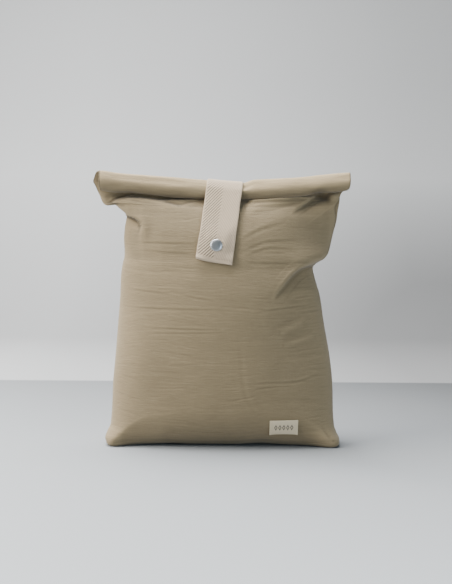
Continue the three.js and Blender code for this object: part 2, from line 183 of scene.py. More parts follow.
# Swellings and hollows of the front: x, height, half-width, half-height, how far forward
SWELLINGS = (
    (117.5, 269.5, 7, 4.5, 6.0),
    (116, 228, 34, 30, -8.0),
    (-85, 230, 5, 9, 1.2),
    (88, 120, 42, 70, -5.0),
    (-96, 95, 24, 45, 3.0),
)
# Pockets under the roll, where both panels go back together: x, height, half-width, half-height, depth
POCKETS = (
    (105, 269, 9.5, 4.6, 10.0),
    (-112, 268.0, 8, 4.2, 3.6),
    (-122, 267, 8, 5, 1.6),
)
POCKETS_WIDER = 0.35  # how much wider they are behind
# The ear of cloth under the roll's left end: how far it hangs, at what x, over what width, and
# between what heights that begins and ends
EAR_DROOP = 3.2
EAR_X = -125.5
EAR_WIDTH = 4.5
EAR_FROM = (248.0, 254.0)
EAR_TO = (258.0, 270.0)
# The lower front goes back under the bag: depth, the height where that starts in the middle, how
# steeply the start comes down to the corners, where these are, how far in the full depth is nearly
# reached, and the power of the curve at the left corner and how much it gains from there
TUCK_DEPTH = 17.0
TUCK_HEIGHT = 44.0
TUCK_SLOPE = 1.15
TUCK_CORNERS = (-122.0, 125.0)
TUCK_INWARD = 25.0
TUCK_POWER = 1.2
TUCK_POWER_GAIN = 0.8
# The crest of the cloth under the roll: x, height, how far it stands forward
CREST = np.array([
    [-128, 256, 0], [-121, 260, 1.5], [-115, 262.6, 3.5], [-109, 263.1, 5.6], [-102, 263.6, 7.6],
    [-92, 263.7, 8.7], [-85, 263.1, 9.2], [-67, 261.3, 9.4], [-49, 262.0, 9], [-36, 262.7, 8.6],
    [-20, 263.2, 8.4], [0, 262.8, 8.4], [25, 262.9, 7.6], [45, 264, 6.6], [62, 265.3, 5.6],
    [76, 266.4, 4.4], [90, 267.2, 2.8], [102, 267.6, 1.7], [114, 267.6, 0.4], [128, 267, 0],
])
CREST_TURN = 1.5  # over what height the cloth turns in under the roll, above the crest
CREST_PAST = 3.0  # how far past the crest its lean still grows
# Where the cloth comes forward to the crest: x, from what height, up to what height, and how far it
# leans back from there to the crest (below 0: how much further forward it comes)
CREST_RISE = np.array([
    [-128, 212, 262, 0], [-106, 210, 262, 0.1], [-84, 191, 245, 1.2], [-64, 184, 238, 1.5],
    [-20, 184, 238, 1.5], [20, 185, 240, 1.3], [33, 191, 246, -4], [50, 199, 251, -6.5],
    [64, 205, 255, -7], [78, 209, 259, -5.5], [92, 211, 262, -2.5], [104, 212, 266, 0],
    [128, 212, 266, 0],
])
# Long creases of the front: a line of (x, height) points, depth and width
CREASES = (
    ([(-106, 149.5), (-54, 148), (14, 148)], 0.24, 1.3),
    ([(-100, 168), (-54, 164)], 0.24, 1.4),
    ([(-39, 162), (-7, 157)], 0.16, 1.3),
    ([(-84, 128), (-2, 127)], 0.2, 1.3),
    ([(-81, 122.6), (4, 124)], 0.18, 1.2),
    ([(34, 146), (94, 152)], 0.2, 1.4),
    ([(19, 221), (39, 231), (66, 240)], 0.28, 2.2),
    ([(16, 207), (49, 219), (86, 221)], 0.22, 1.8),
    ([(22, 203), (50, 212), (82, 210)], 0.22, 1.7),
    ([(24, 197), (76, 195.5)], 0.25, 1.6),
    ([(34, 71), (71, 71), (103, 78)], 0.2, 1.6),
    ([(-94, 217.5), (-28, 216)], 0.3, 1.5),
    ([(-92, 209.5), (-28, 205)], 0.2, 1.5),
    ([(-83, 41.3), (-46, 40)], 0.1, 1.5),
    ([(-54, 90), (-22, 91.6)], 0.15, 1.3),
    ([(17, 117), (22, 64), (35, 38)], 0.05, 2.5),
    ([(60, 124), (86, 134)], -0.6, 4.0),
    ([(64, 110), (98, 119)], -0.5, 3.5),
)
# The bank beside a crease: its share of the crease's depth, and how many widths away it lies
LONG_BANK = (0.7, 1.7)
SMALL_BANK = (0.5, -1.5)
# The slow swells of washed cloth: height, length across and along the cut, place in the noise, seed
SWELLS = ((1.5, 62, 45, 7, 12), (0.4, 24, 13, 7, 13))
LINE_DRIFT = (5, 70, 45, 3, 11)  # the same, for how the lines of small creases drift up and down
LINE_UNEVEN = 0.3  # the share of the gap by which a line is out of its even place
LINE_STEPS = (1.7, 7.3, 0.61)  # how far apart in the noise the lines are, so that each has its own
PINCH = (1.8, 0.35)  # how steeply a pinch rises out of its line, and how much of the line is left flat
# The small creases from side to side: the gap between their lines, length and width of a crease,
# depth, and the seed of their places
SMALL_CREASES = (
    (13.0, 44, 1.8, 0.45, 21),
    (6.3, 26, 1.25, 0.36, 22),
    (4.1, 16, 1.0, 0.22, 24),
    (23.0, 70, 2.6, 0.6, 23),
)
# The label's place on the flat cut, the half-sizes of the calm cloth round it, and how calm it is
LABEL_ON_CUT = (66.0, 66.0)
CALM_REACH = (22.0, 16.0)
CALM_SHARE = 0.85
# The small creases reach their full height this far from the side seams, and between these lengths
# along the cut from the bottom seam
CREASES_FROM_SEAM = 24.0
CREASES_FROM_BASE = (20.0, 60.0)
BACK_SHIFT = 300.0  # how far along the noise the back lies, so that it has creases of its own
# The side seams: the height along the cut over which they come up from the base, and the depth and
# width of their groove and of its darkening, partly the seam's own dark line and partly painted shade
SEAM_RISE = (30.0, 44.0)
SEAM_GROOVE = (0.8, 1.3)
SEAM_LINE_AND_PAINTED_SHADE = (0.7, 1.6)
# How the cloth's colour changes: by its bend, paler on ridges as wear and darker in valleys as
# painted shade, and at most by how much; painted shade in the sharp folds; a painted highlight on
# top of the roll (how much, and the angles where that comes and goes), and painted shade below it
# (how much, at what angle, over what width)
BEND_WEAR_AND_PAINTED_SHADE = 4.0
BEND_WEAR_AND_PAINTED_SHADE_MOST = 0.6
FOLD_PAINTED_SHADE = 2.0
ROLL_PAINTED_HIGHLIGHT = (1.5, (45, 80), (150, 205))
ROLL_PAINTED_SHADE = (1.2, 238, 34)


# ---- Curves, noise and grids ----
def smoothstep(start, end, value):
    """0 before start, 1 after end, and a soft S-curve in between."""
    share = np.clip((value - start) / (end - start), 0, 1)
    return share * share * (3 - 2 * share)


def bell(value, width, power=2):
    """A bell curve, 1 at 0 and about a third at the width. A higher power makes its top flatter."""
    return np.exp(-((value / width) ** power))


def curve_through(keys, values, at):
    """Smooth curve through the rows of a table that never overshoots: a cubic between two rows,
    whose slope at a row is the harmonic mean of the slopes on its two sides."""
    keys, values = np.asarray(keys, float), np.asarray(values, float)
    secants = np.diff(values) / np.diff(keys)
    before, after = secants[:-1], secants[1:]
    same_way = before * after > 0
    inner = np.where(same_way, 2 * before * after / np.where(same_way, before + after, 1), 0)
    slopes = np.concatenate([secants[:1], inner, secants[-1:]])
    i = np.clip(np.searchsorted(keys, at, side="right") - 1, 0, len(keys) - 2)
    span = keys[i + 1] - keys[i]
    t = np.clip((at - keys[i]) / span, 0, 1)
    return (
        values[i] * (2 * t**3 - 3 * t**2 + 1)
        + slopes[i] * span * (t**3 - 2 * t**2 + t)
        + values[i + 1] * (3 * t**2 - 2 * t**3)
        + slopes[i + 1] * span * (t**3 - t**2)
    )


def table_curve(table, at):
    """The second column of a table as a smooth curve of the first."""
    return curve_through(table[:, 0], table[:, 1], at)


def noise(x, y, seed):
    """Smooth noise from -1 to 1: random values at whole numbers, blended with an S-curve between."""
    size = 64
    values = np.random.default_rng(seed).uniform(-1, 1, (size, size))
    column, row = np.floor(x).astype(int), np.floor(y).astype(int)
    a, b = x - column, y - row
    a, b = a**3 * (a * (a * 6 - 15) + 10), b**3 * (b * (b * 6 - 15) + 10)
    here = values[column % size, row % size]
    right = values[(column + 1) % size, row % size]
    above = values[column % size, (row + 1) % size]
    across = values[(column + 1) % size, (row + 1) % size]
    return (here * (1 - a) + right * a) * (1 - b) + (above * (1 - a) + across * a) * b


def unit(vectors):
    """The vectors, each divided by its length."""
    return vectors / np.maximum(np.linalg.norm(vectors, axis=-1, keepdims=True), 1e-9)


def grid_normals(points):
    """Unit normals of a grid: the cross product of its differences across and along."""
    return unit(np.cross(np.gradient(points, axis=1), np.gradient(points, axis=0)))


def grid_bend(points, normals):
    """How much a grid bulges at each point: the mean of its neighbours, measured against the
    normal. Ridges are above 0 and valleys below."""
    bend = np.zeros(points.shape[:2])
    bend[1:-1, 1:-1] = -(
        (points[2:, 1:-1] + points[:-2, 1:-1] + points[1:-1, 2:] + points[1:-1, :-2]
         - 4 * points[1:-1, 1:-1]) * normals[1:-1, 1:-1]
    ).sum(-1)
    return bend


def read_rows(wanted, keys, values):
    """Row by row, the values at the wanted keys. Each row's keys rise; a large step from row to row
    keeps the rows apart in one long table."""
    step = 1e4 * np.arange(len(keys))[:, None]
    found = np.interp((wanted + step).ravel(), (keys + step).ravel(), values.ravel())
    return found.reshape(wanted.shape)


# ---- Meshes ----
def add_mesh(name, points, faces, attributes=(), sharp=60):
    """A new mesh object from points in millimetres, with smooth shading and an attribute for each
    (name, one vector for each point)."""
    mesh = bpy.data.meshes.new(name)
    mesh.from_pydata((points + PLACE) * MM, [], faces)
    mesh.validate()
    for title, vectors in attributes:
        held = mesh.attributes.new(title, "FLOAT_VECTOR", "POINT")
        held.data.foreach_set("vector", np.ascontiguousarray(vectors, np.float32).ravel())
    mesh.polygons.foreach_set("use_smooth", np.ones(len(mesh.polygons), bool))
    mesh.set_sharp_from_angle(angle=math.radians(sharp))
    piece = bpy.data.objects.new(name, mesh)
    bpy.context.scene.collection.objects.link(piece)
    return piece


def solid_faces(rows, columns):
    """Faces of a closed solid between two grids of rows by columns points: the first grid's along
    its normal, the second's against it, and a rim round the edge."""
    count = rows * columns
    index = np.arange(count).reshape(rows, columns)
    a, b = index[:-1, :-1].ravel(), index[:-1, 1:].ravel()
    d, e = index[1:, :-1].ravel(), index[1:, 1:].ravel()
    near = np.stack([a, b, e, d], 1)
    far = np.stack([b, a, d, e], 1) + count
    starts = np.concatenate([index[0, :-1], index[-1, 1:], index[1:, 0], index[:-1, -1]])
    ends = np.concatenate([index[0, 1:], index[-1, :-1], index[:-1, 0], index[1:, -1]])
    rim = np.stack([ends, starts, starts + count, ends + count], 1)
    return np.concatenate([near, far, rim])


def add_solid(name, near, far, attributes=()):
    """A closed piece between two grids of points, the first on the side that the normals face."""
    rows, columns = near.shape[:2]
    points = np.concatenate([near.reshape(-1, 3), far.reshape(-1, 3)])
    doubled = [(title, np.tile(grid.reshape(-1, 3), (2, 1))) for title, grid in attributes]
    return add_mesh(name, points, solid_faces(rows, columns).tolist(), doubled)


def add_turned(name, profile, centre, axis):
    """A piece turned on an axis: each (radius, height) of the profile carried round in a circle."""
    sides = 96
    axis = unit(np.asarray(axis, float))
    side = unit(np.cross(axis, [1.0, 0, 0]))
    other = np.cross(axis, side)
    turn = np.linspace(0, 2 * np.pi, sides, endpoint=False)
    ring = np.cos(turn)[:, None] * side + np.sin(turn)[:, None] * other
    profile = np.asarray(profile, float)
    points = centre + profile[:, None, :1] * ring + profile[:, None, 1:] * axis
    rings = len(profile)
    index = np.arange(rings * sides).reshape(rings, sides)
    after = np.roll(index, -1, axis=1)
    faces = np.stack([index[:-1], after[:-1], after[1:], index[1:]], -1).reshape(-1, 4).tolist()
    faces += [index[0][::-1].tolist(), index[-1].tolist()]
    return add_mesh(name, points.reshape(-1, 3), faces, sharp=50)


def add_stitches(name, centres, along, outward, length, width):
    """A row of stitches. Each is a short thread of a few rings that rises out of the cloth and goes
    back in: its height follows a half sine and its thickness the root of it."""
    rings, sides = 7, 6
    sunk, thinnest = 0.45, 0.12
    t = np.linspace(-1, 1, rings)
    rise = np.cos(t * np.pi / 2)
    turn = np.linspace(0, 2 * np.pi, sides, endpoint=False)
    across = np.cross(along, outward)
    middle = (
        centres[:, None, :]
        + along[:, None, :] * (t * length / 2)[None, :, None]
        + outward[:, None, :] * (rise * width * sunk)[None, :, None]
    )
    radius = (width / 2 * np.sqrt(thinnest + (1 - thinnest) * rise))[None, :, None, None]
    ring = (
        across[:, None, None, :] * np.cos(turn)[None, None, :, None]
        + outward[:, None, None, :] * np.sin(turn)[None, None, :, None]
    )
    points = middle[:, :, None, :] + ring * radius
    index = np.arange(rings * sides).reshape(rings, sides)
    after = np.roll(index, -1, axis=1)
    body = np.stack([index[:-1], index[1:], after[1:], after[:-1]], -1).reshape(-1, 4)
    first, last = index[0], index[-1]
    caps = np.array([first[[0, 1, 2, 3]], first[[0, 3, 4, 5]], last[[3, 2, 1, 0]], last[[5, 4, 3, 0]]])
    one = np.concatenate([body, caps])
    steps = (np.arange(len(centres)) * rings * sides)[:, None, None]
    faces = (one[None] + steps).reshape(-1, 4)
    return add_mesh(name, points.reshape(-1, 3), faces.tolist())


def dress(piece, finish, node):
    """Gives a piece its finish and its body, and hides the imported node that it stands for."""
    piece.data.materials.append(finish)
    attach(piece, ROOT)
    if node:
        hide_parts(node)
    return piece


# ---- The body of the bag ----
def body_at(level):
    """Each column of the body's table as a smooth curve of the level."""
    return {
        name: curve_through(BODY_ROWS[:, 0], BODY_ROWS[:, i], level)
        for i, name in enumerate(BODY_COLUMNS)
    }


def lay_apart(across, middle):
    """Half the distance that keeps the two panels apart: PAIR where the bag is flat, changing evenly
    to PACKED_GAP where it is full, and at the seams drawn in to nothing by (1 - |across|^60)^0.4."""
    apart = PAIR + (PACKED_GAP - PAIR) * np.clip(middle / FLAT_DEPTH, 0, 1)
    return apart * (1 - np.minimum(np.abs(across), 1) ** 60) ** 0.4


def section(turn, level):
    """A point of the bag's closed section. turn is 0 in the middle of the front and a quarter turn
    at a widest place: across is its sine, x runs from seam to seam with it, and the depth is the
    crown (middle + (end - middle) * across^2) times (1 - |across|^power)^(1/power)."""
    body = body_at(level)
    across = np.sin(turn)
    is_front = np.cos(turn) >= 0
    middle = np.where(is_front, body["front"], body["back"])
    end = np.minimum(body["end"], middle)
    edge = np.maximum(0, 1 - np.abs(across) ** body["power"]) ** (1 / body["power"])
    depth = (middle + (end - middle) * across**2) * edge + lay_apart(across, middle)
    x = body["left"] + (body["right"] - body["left"]) * (across + 1) / 2
    return x, np.where(is_front, -depth, depth), across


def front_lift(across):
    """How far the front edge of the base stands off the ground: FRONT_LIFT * (1 - |across|^5), and
    a bell curve for each of its waves."""
    waves = sum(height * bell(across - middle, wide) for height, middle, wide in FRONT_WAVES)
    return FRONT_LIFT * (1 - np.abs(across) ** 5) + waves


def smile_at(across, level):
    """Rise of a level where the cloth follows the raised ends of the roll: the rise of that end
    times |across|^power, coming in between SMILE_START and the roll's centre."""
    rise = np.where(across < 0, ROLL_SMILE[0], ROLL_SMILE[1])
    power = np.where(across < 0, SMILE_POWER[0], SMILE_POWER[1])
    return rise * smoothstep(SMILE_START, ROLL_CENTRE, level) * np.abs(across) ** power


def nearest_on(line, x, z):
    """The nearest point of a smooth line through a few points: its distance, the side of the line
    (above 0 on the upper one) and the share of the way along it, as a mean over the pieces of the
    line that counts the near ones most."""
    blend = 2.5  # the other pieces count while they are not much more than this further away
    line = np.array(line, float)
    index, fine = np.arange(len(line)), np.linspace(0, len(line) - 1, 3 * len(line))
    line = np.stack([curve_through(index, line[:, i], fine) for i in (0, 1)], 1)
    start, step = line[:-1], np.diff(line, axis=0)
    away = np.stack([x, z], -1)[..., None, :] - start
    t = np.clip((away * step).sum(-1) / (step**2).sum(-1), 0, 1)
    off = away - t[..., None] * step
    every = np.linalg.norm(off, axis=-1)
    near = every.argmin(-1)[..., None]
    side = (step[:, 0] * off[..., 1] - step[:, 1] * off[..., 0]) * np.sign(step[0, 0])
    side = np.take_along_axis(side, near, -1)[..., 0]
    distance = every.min(-1)
    share = np.exp((distance[..., None] - every) / blend)
    along = (share * (np.arange(len(step)) + t)).sum(-1) / share.sum(-1) / len(step)
    return distance, side, along


def fold_push(x, z):
    """How far the folds move the front forward. For each fold: a push on each side of its line that
    dies away with the distance and towards the line's end."""
    push = np.zeros(x.shape)
    for line, above, above_reach, below, below_reach, soft, opened in FOLDS:
        distance, side, along = nearest_on(line, x, z)
        fade = smoothstep(-opened, FOLD_RISEN, along) * (1 - smoothstep(*FOLD_FALLING, along))
        reach = np.clip(1.6 - distance / (2 * above_reach), 0, 1)
        up = above * np.exp(-distance / above_reach)
        down = below * np.exp(-distance / below_reach)
        push += fade * reach * np.where(side >= 0, up, down) * np.tanh(distance / soft)
    return push


def fold_painted_shade(x, z):
    """How much painted shade a place gets in a sharp fold: 1 along its line, then a bell curve of the
    distance, on the side that goes back, and a trace of that on the other side."""
    depth = np.zeros(x.shape)
    for line, above, _, below, _, soft, opened in FOLDS:
        is_sharp = soft <= SHARP_TURN and min(above, below) <= -SHARP_BACK
        if not is_sharp:
            continue
        distance, side, along = nearest_on(line, x, z)
        fade = smoothstep(-opened, FOLD_RISEN, along) * (1 - smoothstep(0.5, 1.0, along))
        back = np.where((side >= 0) == (above < below), 1.0, 0.15)
        depth += fade * back * bell(np.maximum(distance - FOLD_PAINTED_SHADE_CORE, 0), FOLD_PAINTED_SHADE_FADE)
    return depth


def groove(off, bank):
    """Height across a crease, above 0 for its groove: a bell curve of the distance in widths, less
    a lower and wider one for the bank beside it."""
    share, away = bank
    return bell(off, 1) - share * bell(off - away, 1.2)


def crease_push(x, z):
    """How far the long creases move the front: a groove along each line with a bank above it, dying
    away towards the line's ends as a power of a half sine."""
    push = np.zeros(x.shape)
    for line, depth, wide in CREASES:
        distance, side, along = nearest_on(line, x, z)
        off = np.sign(side) * distance / wide
        push -= depth * groove(off, LONG_BANK) * np.sin(np.pi * np.clip(along, 0.01, 0.99)) ** 0.7
    return push


def crest_push(x, z):
    """How far the cloth under the roll stands forward: an S-curve of the height, then a lean back
    (or further forward) to the crest, and above it a bell curve, where the cloth turns in."""
    crest = curve_through(CREST[:, 0], CREST[:, 1], x)
    forward = curve_through(CREST[:, 0], CREST[:, 2], x)
    start, end, lean = (curve_through(CREST_RISE[:, 0], CREST_RISE[:, i], x) for i in (1, 2, 3))
    leaning = lean * smoothstep(end, np.maximum(crest, end) + CREST_PAST, z)
    return (forward * smoothstep(start, end, z) - leaning) * bell(np.maximum(z - crest, 0), CREST_TURN)


def swell_push(x, z):
    """How far the swellings move the front forward: a bell curve in x and height for each."""
    push = np.zeros(x.shape)
    for at_x, at_z, wide, tall, forward in SWELLINGS:
        push += forward * np.exp(-(((x - at_x) / wide) ** 2) - ((z - at_z) / tall) ** 2)
    return push


def tuck_under(x, z):
    """How far the lower front goes back under the bag: a power of the share of the way down from the
    height where the tuck starts. That height rises from the corners and levels off, and near the
    left corner the power is lower, so that the start shows as a ridge."""
    inward = np.maximum(np.minimum(x - TUCK_CORNERS[0], TUCK_CORNERS[1] - x), 0.1)
    start = TUCK_HEIGHT * np.tanh(TUCK_SLOPE * inward / TUCK_HEIGHT)
    power = TUCK_POWER + TUCK_POWER_GAIN * np.where(x < 0, smoothstep(15, 60, inward), 1)
    return TUCK_DEPTH * np.tanh(inward / TUCK_INWARD) * np.clip(1 - z / start, 0, 1) ** power


def pocket_depth(x, z, spread):
    """How far the pockets under the roll go back: a bell curve in x and height for each."""
    depth = np.zeros(x.shape)
    for at_x, at_z, wide, tall, back in POCKETS:
        depth += back * np.exp(-(((x - at_x) / wide) ** 2 + ((z - at_z) / tall) ** 2) / spread**2)
    return depth


def ear_droop(x, z):
    """How far the ear under the roll's left end hangs: a bell curve in x, below the roll only."""
    return EAR_DROOP * bell(x - EAR_X, EAR_WIDTH) * (1 - smoothstep(*EAR_TO, z)) * smoothstep(*EAR_FROM, z)


def on_body(turn, level):
    """Points of the body's surface: the section, with the lifted front edge, the smile under the
    roll, and the folds, which fade out just behind the side seams."""
    x, y, across = section(turn, level)
    in_front = np.cos(turn) >= 0
    lift = np.where(in_front, front_lift(across) * (1 - smoothstep(0, LIFT_HEIGHT, level)), 0)
    z = level + lift + smile_at(across, level)
    x, y, z = np.broadcast_arrays(x, y, z)
    push = fold_push(x, z) + swell_push(x, z) + crest_push(x, z) + crease_push(x, z)
    push = push - tuck_under(x, z)
    room = ROOM_SHARE * (np.maximum(-y, 0) + ROOM_BEHIND * body_at(level)["back"])
    push = np.maximum(push, -room) * np.clip(1 - np.maximum(y, 0) / FADE_BEHIND, 0, 1) ** 2
    spread = np.where(in_front, 1, 1 + POCKETS_WIDER * (1 - across**8))
    return np.stack(np.broadcast_arrays(x, y - push + pocket_depth(x, z, spread), z - ear_droop(x, z)), -1)


def wall_grid(levels, places, side):
    """The wall of one panel: at each level, points at the given shares of the way from its left
    seam to its right one, measured along the section, which is worked out at turns that lie closer
    together at the widest places. The seams run a little off those."""
    beyond = 0.8  # how far the measured turns go past the seams
    even = np.linspace(-1.5 * np.pi - beyond, 0.5 * np.pi + beyond, SECTION_TURNS)
    fine = even + np.sin(2 * even) / 2
    level = levels[:, None]
    x, y, _ = section(fine[None, :], level)
    steps = np.hypot(np.diff(x, axis=1), np.diff(y, axis=1))
    length = np.concatenate([np.zeros((len(levels), 1)), np.cumsum(steps, axis=1)], axis=1)
    turns = np.broadcast_to(fine, length.shape)

    def at_turn(turn):
        """The length along the section at a turn, for each level."""
        return np.array([np.interp(turn, fine, row) for row in length])[:, None]

    left = at_turn(-np.pi / 2) + table_curve(SEAM_LEFT, levels)[:, None]
    ahead = table_curve(SEAM_RIGHT, levels)[:, None]
    right = at_turn(np.pi / 2) - ahead if side < 0 else at_turn(-1.5 * np.pi) - ahead
    turn = read_rows(left + (right - left) * places[None, :], length, turns)
    return turn, on_body(turn, level)


def base_grid(depths, turn, wall, thickness):
    """The base of one panel: rings of the lowest section, each drawn in to a share of its depth,
    with the share of the width and of the front's lift read from their tables. Its edge is rounded
    by a quarter circle, or where the lower front goes back by a flatter power curve."""
    full_tuck = 12.0  # from this far back the base follows the tuck
    middle = (wall[:, 0].min() + wall[:, 0].max()) / 2
    shares = depths[:, None]
    in_front = np.cos(turn) >= 0
    lift = np.where(in_front, front_lift(np.sin(turn)), 0)
    x = middle + (wall[:, 0] - middle) * table_curve(BASE_WIDTH, depths)[:, None]
    tucked = np.where(in_front, np.clip(tuck_under(wall[:, 0], wall[:, 2]) / full_tuck, 0, 1), 0)
    y = wall[:, 1] * (shares + (table_curve(BASE_TUCKED, depths)[:, None] - shares) * tucked)
    inset = (1 - shares) * BASE_DEPTH
    corner = BOTTOM_LEVEL - thickness / 2
    arch = corner - np.sqrt(np.maximum(0, corner**2 - np.maximum(corner - inset, 0) ** 2))
    arch = arch + (corner * np.maximum(0, 1 - inset / corner) ** 1.6 - arch) * tucked
    z = thickness / 2 + arch + lift * table_curve(BASE_LIFT, depths)[:, None]
    return np.stack(np.broadcast_arrays(x, y, z), -1)


def roll_press(degrees):
    """How far the roll is pressed in at an angle: a bell curve in each turn."""
    depth, middle, wide = ROLL_PRESS
    return depth * bell(degrees % 360 - middle, wide)


def roll_tilt(x):
    """How far the roll leans back, in radians: a bell curve in x."""
    degrees, middle, wide = ROLL_TILT
    return np.radians(degrees) * bell(x - middle, wide)


def rolled_grid(angles, places, side):
    """The rolled top of one panel: an oval spiral that starts behind, goes up and over to the front
    and on inside. Its radius shrinks by the pitch in each turn and wanders a little, it is higher
    than it is deep by run, its upper front is pressed flatter, it leans back in the middle, the
    strap dents its top, and near the ends its underside is pinched up or hangs down. away is the
    panel's distance from the middle of the pair."""
    angle = np.radians(angles)[:, None]
    across = (2 * places - 1)[None, :]
    away = side * lay_apart(across, 0.0)
    wander, waves_across, waves_round = ROLL_UNEVEN
    uneven = wander * noise(across * waves_across + 9, angle * waves_round, seed=31)
    bend = ROLL_HALF_DEPTH - ROLL_PITCH * angle / (2 * np.pi) + away + uneven - roll_press(angles)[:, None]
    thinner = np.where(across < 0, ROLL_END_THINNER[0], ROLL_END_THINNER[1])
    run = ROLL_HALF_HEIGHT - ROLL_HALF_DEPTH - thinner * across**2
    left = table_curve(ROLL_LEFT, angles)[:, None]
    right = table_curve(ROLL_RIGHT, angles)[:, None]
    x = across * np.where(across < 0, left, right)
    y = -ROLL_HALF_DEPTH * np.cos(roll_tilt(x)) + bend * np.cos(angle - roll_tilt(x))
    z = ROLL_CENTRE + smile_at(across, ROLL_CENTRE) + (run + bend) * np.sin(angle)
    dent = STRAP_DENT + STRAP_TURN * (x - STRAP_TOP_X)
    dent = dent * bell(x - STRAP_TOP_X, STRAP_DENT_WIDTH, power=6) * smoothstep(*DENT_FADE, np.sin(angle))
    nip = sum(up * bell(x - middle, wide) for up, middle, wide in ROLL_NIPS)
    nip = nip * smoothstep(*NIPS_FADE, np.sin(angle))
    return np.stack(np.broadcast_arrays(x, y, z - dent + nip), -1)


def swell(u, v, height, across, along, start, seed):
    """A slow swell of the cloth: smooth noise, stretched across and along the cut."""
    return height * noise(u / across + start, v / along, seed)


def creases(u, v, height):
    """Relief of washed cloth: slow swells, and creases from side to side. The creases lie on uneven
    lines a gap apart; each line is a row of pinches of its own, shallow grooves with soft banks."""
    drift = swell(u, v, *LINE_DRIFT)
    relief = sum(swell(u, v, *one) for one in SWELLS)
    uneven_step, pinch_step, pinch_row = LINE_STEPS
    steep, flat = PINCH
    for gap, long, wide, depth, seed in SMALL_CREASES:
        line = np.floor((v + drift) / gap)
        uneven = LINE_UNEVEN * noise(line * uneven_step, line * 0 + 0.5, seed)
        off = v + drift - gap * (line + 0.5 + uneven)
        along_line = noise(u / long + pinch_step * line, line * pinch_row, seed + 20)
        pinch = np.clip(steep * along_line - flat, 0, 1)
        relief = relief - depth * pinch * groove(off / wide, SMALL_BANK)
    return height * relief


def column_places(count):
    """Shares of the way across a panel: even, with extra ones by the seams, where the cloth turns."""
    return np.concatenate([SEAM_COLUMNS, np.linspace(*EVEN_COLUMNS, count), 1 - SEAM_COLUMNS[::-1]])


def panel_rows(side, places, thickness):
    """The middle of one panel's cloth as one grid, from the bottom seam out over the base, up the
    wall and round the roll."""
    levels = np.linspace(BOTTOM_LEVEL, TOP_LEVEL, WALL_ROWS)
    turn, wall = wall_grid(levels, places, side)
    corner = 1 - (BOTTOM_LEVEL / BASE_DEPTH) * (1 - np.cos(np.radians(CORNER_ANGLES)))
    depths = np.concatenate([BASE_RINGS, corner])
    base = base_grid(depths, turn[0], wall[0], thickness)
    roll = rolled_grid(ROLL_ANGLES, places, side)
    return np.concatenate([base, wall, roll]), len(depths)


def panel_relief(u, v, to_seam, side, settings):
    """How far a panel's cloth stands off its middle grid: the small creases, which die away towards
    the seams, the base and the label, and a groove along each seam, a bell curve."""
    inside = smoothstep(0, CREASES_FROM_SEAM, to_seam) * smoothstep(*CREASES_FROM_BASE, v)
    (label_u, label_v), (reach_u, reach_v) = LABEL_ON_CUT, CALM_REACH
    by_label = np.exp(-(((u - label_u) / reach_u) ** 4) - (((v - label_v) / reach_v) ** 4)) * (side < 0)
    small = creases(u + BACK_SHIFT * (side > 0), v, settings.crease_height / MM)
    depth, wide = SEAM_GROOVE
    seam = depth * bell(to_seam, wide) * smoothstep(*SEAM_RISE, v)
    return small * inside * (1 - CALM_SHARE * by_label) - seam


def panel_wear_and_painted_light(middle, to_seam, v, side, normals):
    """How much paler (above 0) or darker (below 0) a panel's cloth is made: by how much it bends,
    paler on ridges as wear and darker in valleys as painted shade; with bell curves in the seams,
    for their own dark line and painted shade, and in the sharp folds of the front, as painted shade;
    and round the outside of the roll, which is the back panel's: a painted highlight on its top and
    painted shade below."""
    turns = len(ROLL_ANGLES)
    depth, wide = SEAM_LINE_AND_PAINTED_SHADE
    # by the bend: ridges paler as wear, valleys darker as painted shade
    wear_and_painted_light = np.clip(grid_bend(middle, -side * normals) * BEND_WEAR_AND_PAINTED_SHADE, -BEND_WEAR_AND_PAINTED_SHADE_MOST, BEND_WEAR_AND_PAINTED_SHADE_MOST)
    # the seam's own dark line, and painted shade in its groove
    wear_and_painted_light -= depth * bell(to_seam, wide) * smoothstep(*SEAM_RISE, v)
    if side < 0:
        wall = middle[:-turns]
        # painted shade in the sharp folds
        wear_and_painted_light[:-turns] -= FOLD_PAINTED_SHADE * fold_painted_shade(wall[..., 0], wall[..., 2])
    else:
        # painted highlight on the roll's top, and painted shade below it
        most, comes, goes = ROLL_PAINTED_HIGHLIGHT
        painted_highlight = most * smoothstep(*comes, ROLL_ANGLES) * (1 - smoothstep(*goes, ROLL_ANGLES))
        shade, angle, spread = ROLL_PAINTED_SHADE
        wear_and_painted_light[-turns:] += (painted_highlight - shade * bell(ROLL_ANGLES - angle, spread))[:, None]
    return wear_and_painted_light


def cloth_panel(name, side, settings):
    """One panel of the bag as a closed sheet: its middle grid, creased along its normals, with half
    the thickness on each side. The attribute cloth holds each point's place on the flat cut, and
    its wear and painted light."""
    thickness = settings.thickness / MM
    half_gap = 0.04  # at the bottom seam
    places = column_places(PANEL_COLUMNS)
    middle, base_rows = panel_rows(side, places, thickness)
    flat_rows = base_rows - len(CORNER_ANGLES)
    centre = middle[:, len(places) // 2]
    v = np.concatenate([[0], np.cumsum(np.linalg.norm(np.diff(centre, axis=0), axis=1))])[:, None]
    u = (places - 0.5)[None, :] * settings.cut_width / MM
    to_seam = (0.5 - np.abs(places - 0.5))[None, :] * settings.cut_width / MM

    def normals_of(grid):
        """The grid's normals, upright over the flat part of the base."""
        normals = grid_normals(grid)
        normals[:flat_rows] = [0, 0, side]
        return normals

    relief = panel_relief(u, v, to_seam, side, settings)
    middle = middle - side * normals_of(middle) * relief[..., None]
    normals = normals_of(middle)
    half = normals * thickness / 2
    near, far = middle + half, middle - half
    for grid in (near, far):
        grid[..., 2] = np.maximum(grid[..., 2], 0.0)
        low = grid[:base_rows]
        low[..., 1] = side * np.maximum(side * low[..., 1], half_gap)
    wear_and_painted_light = panel_wear_and_painted_light(middle, to_seam, v, side, normals)
    place = np.stack(np.broadcast_arrays(u * MM, v * MM, wear_and_painted_light), -1)
    return add_solid(name, near, far, [("cloth", place)])


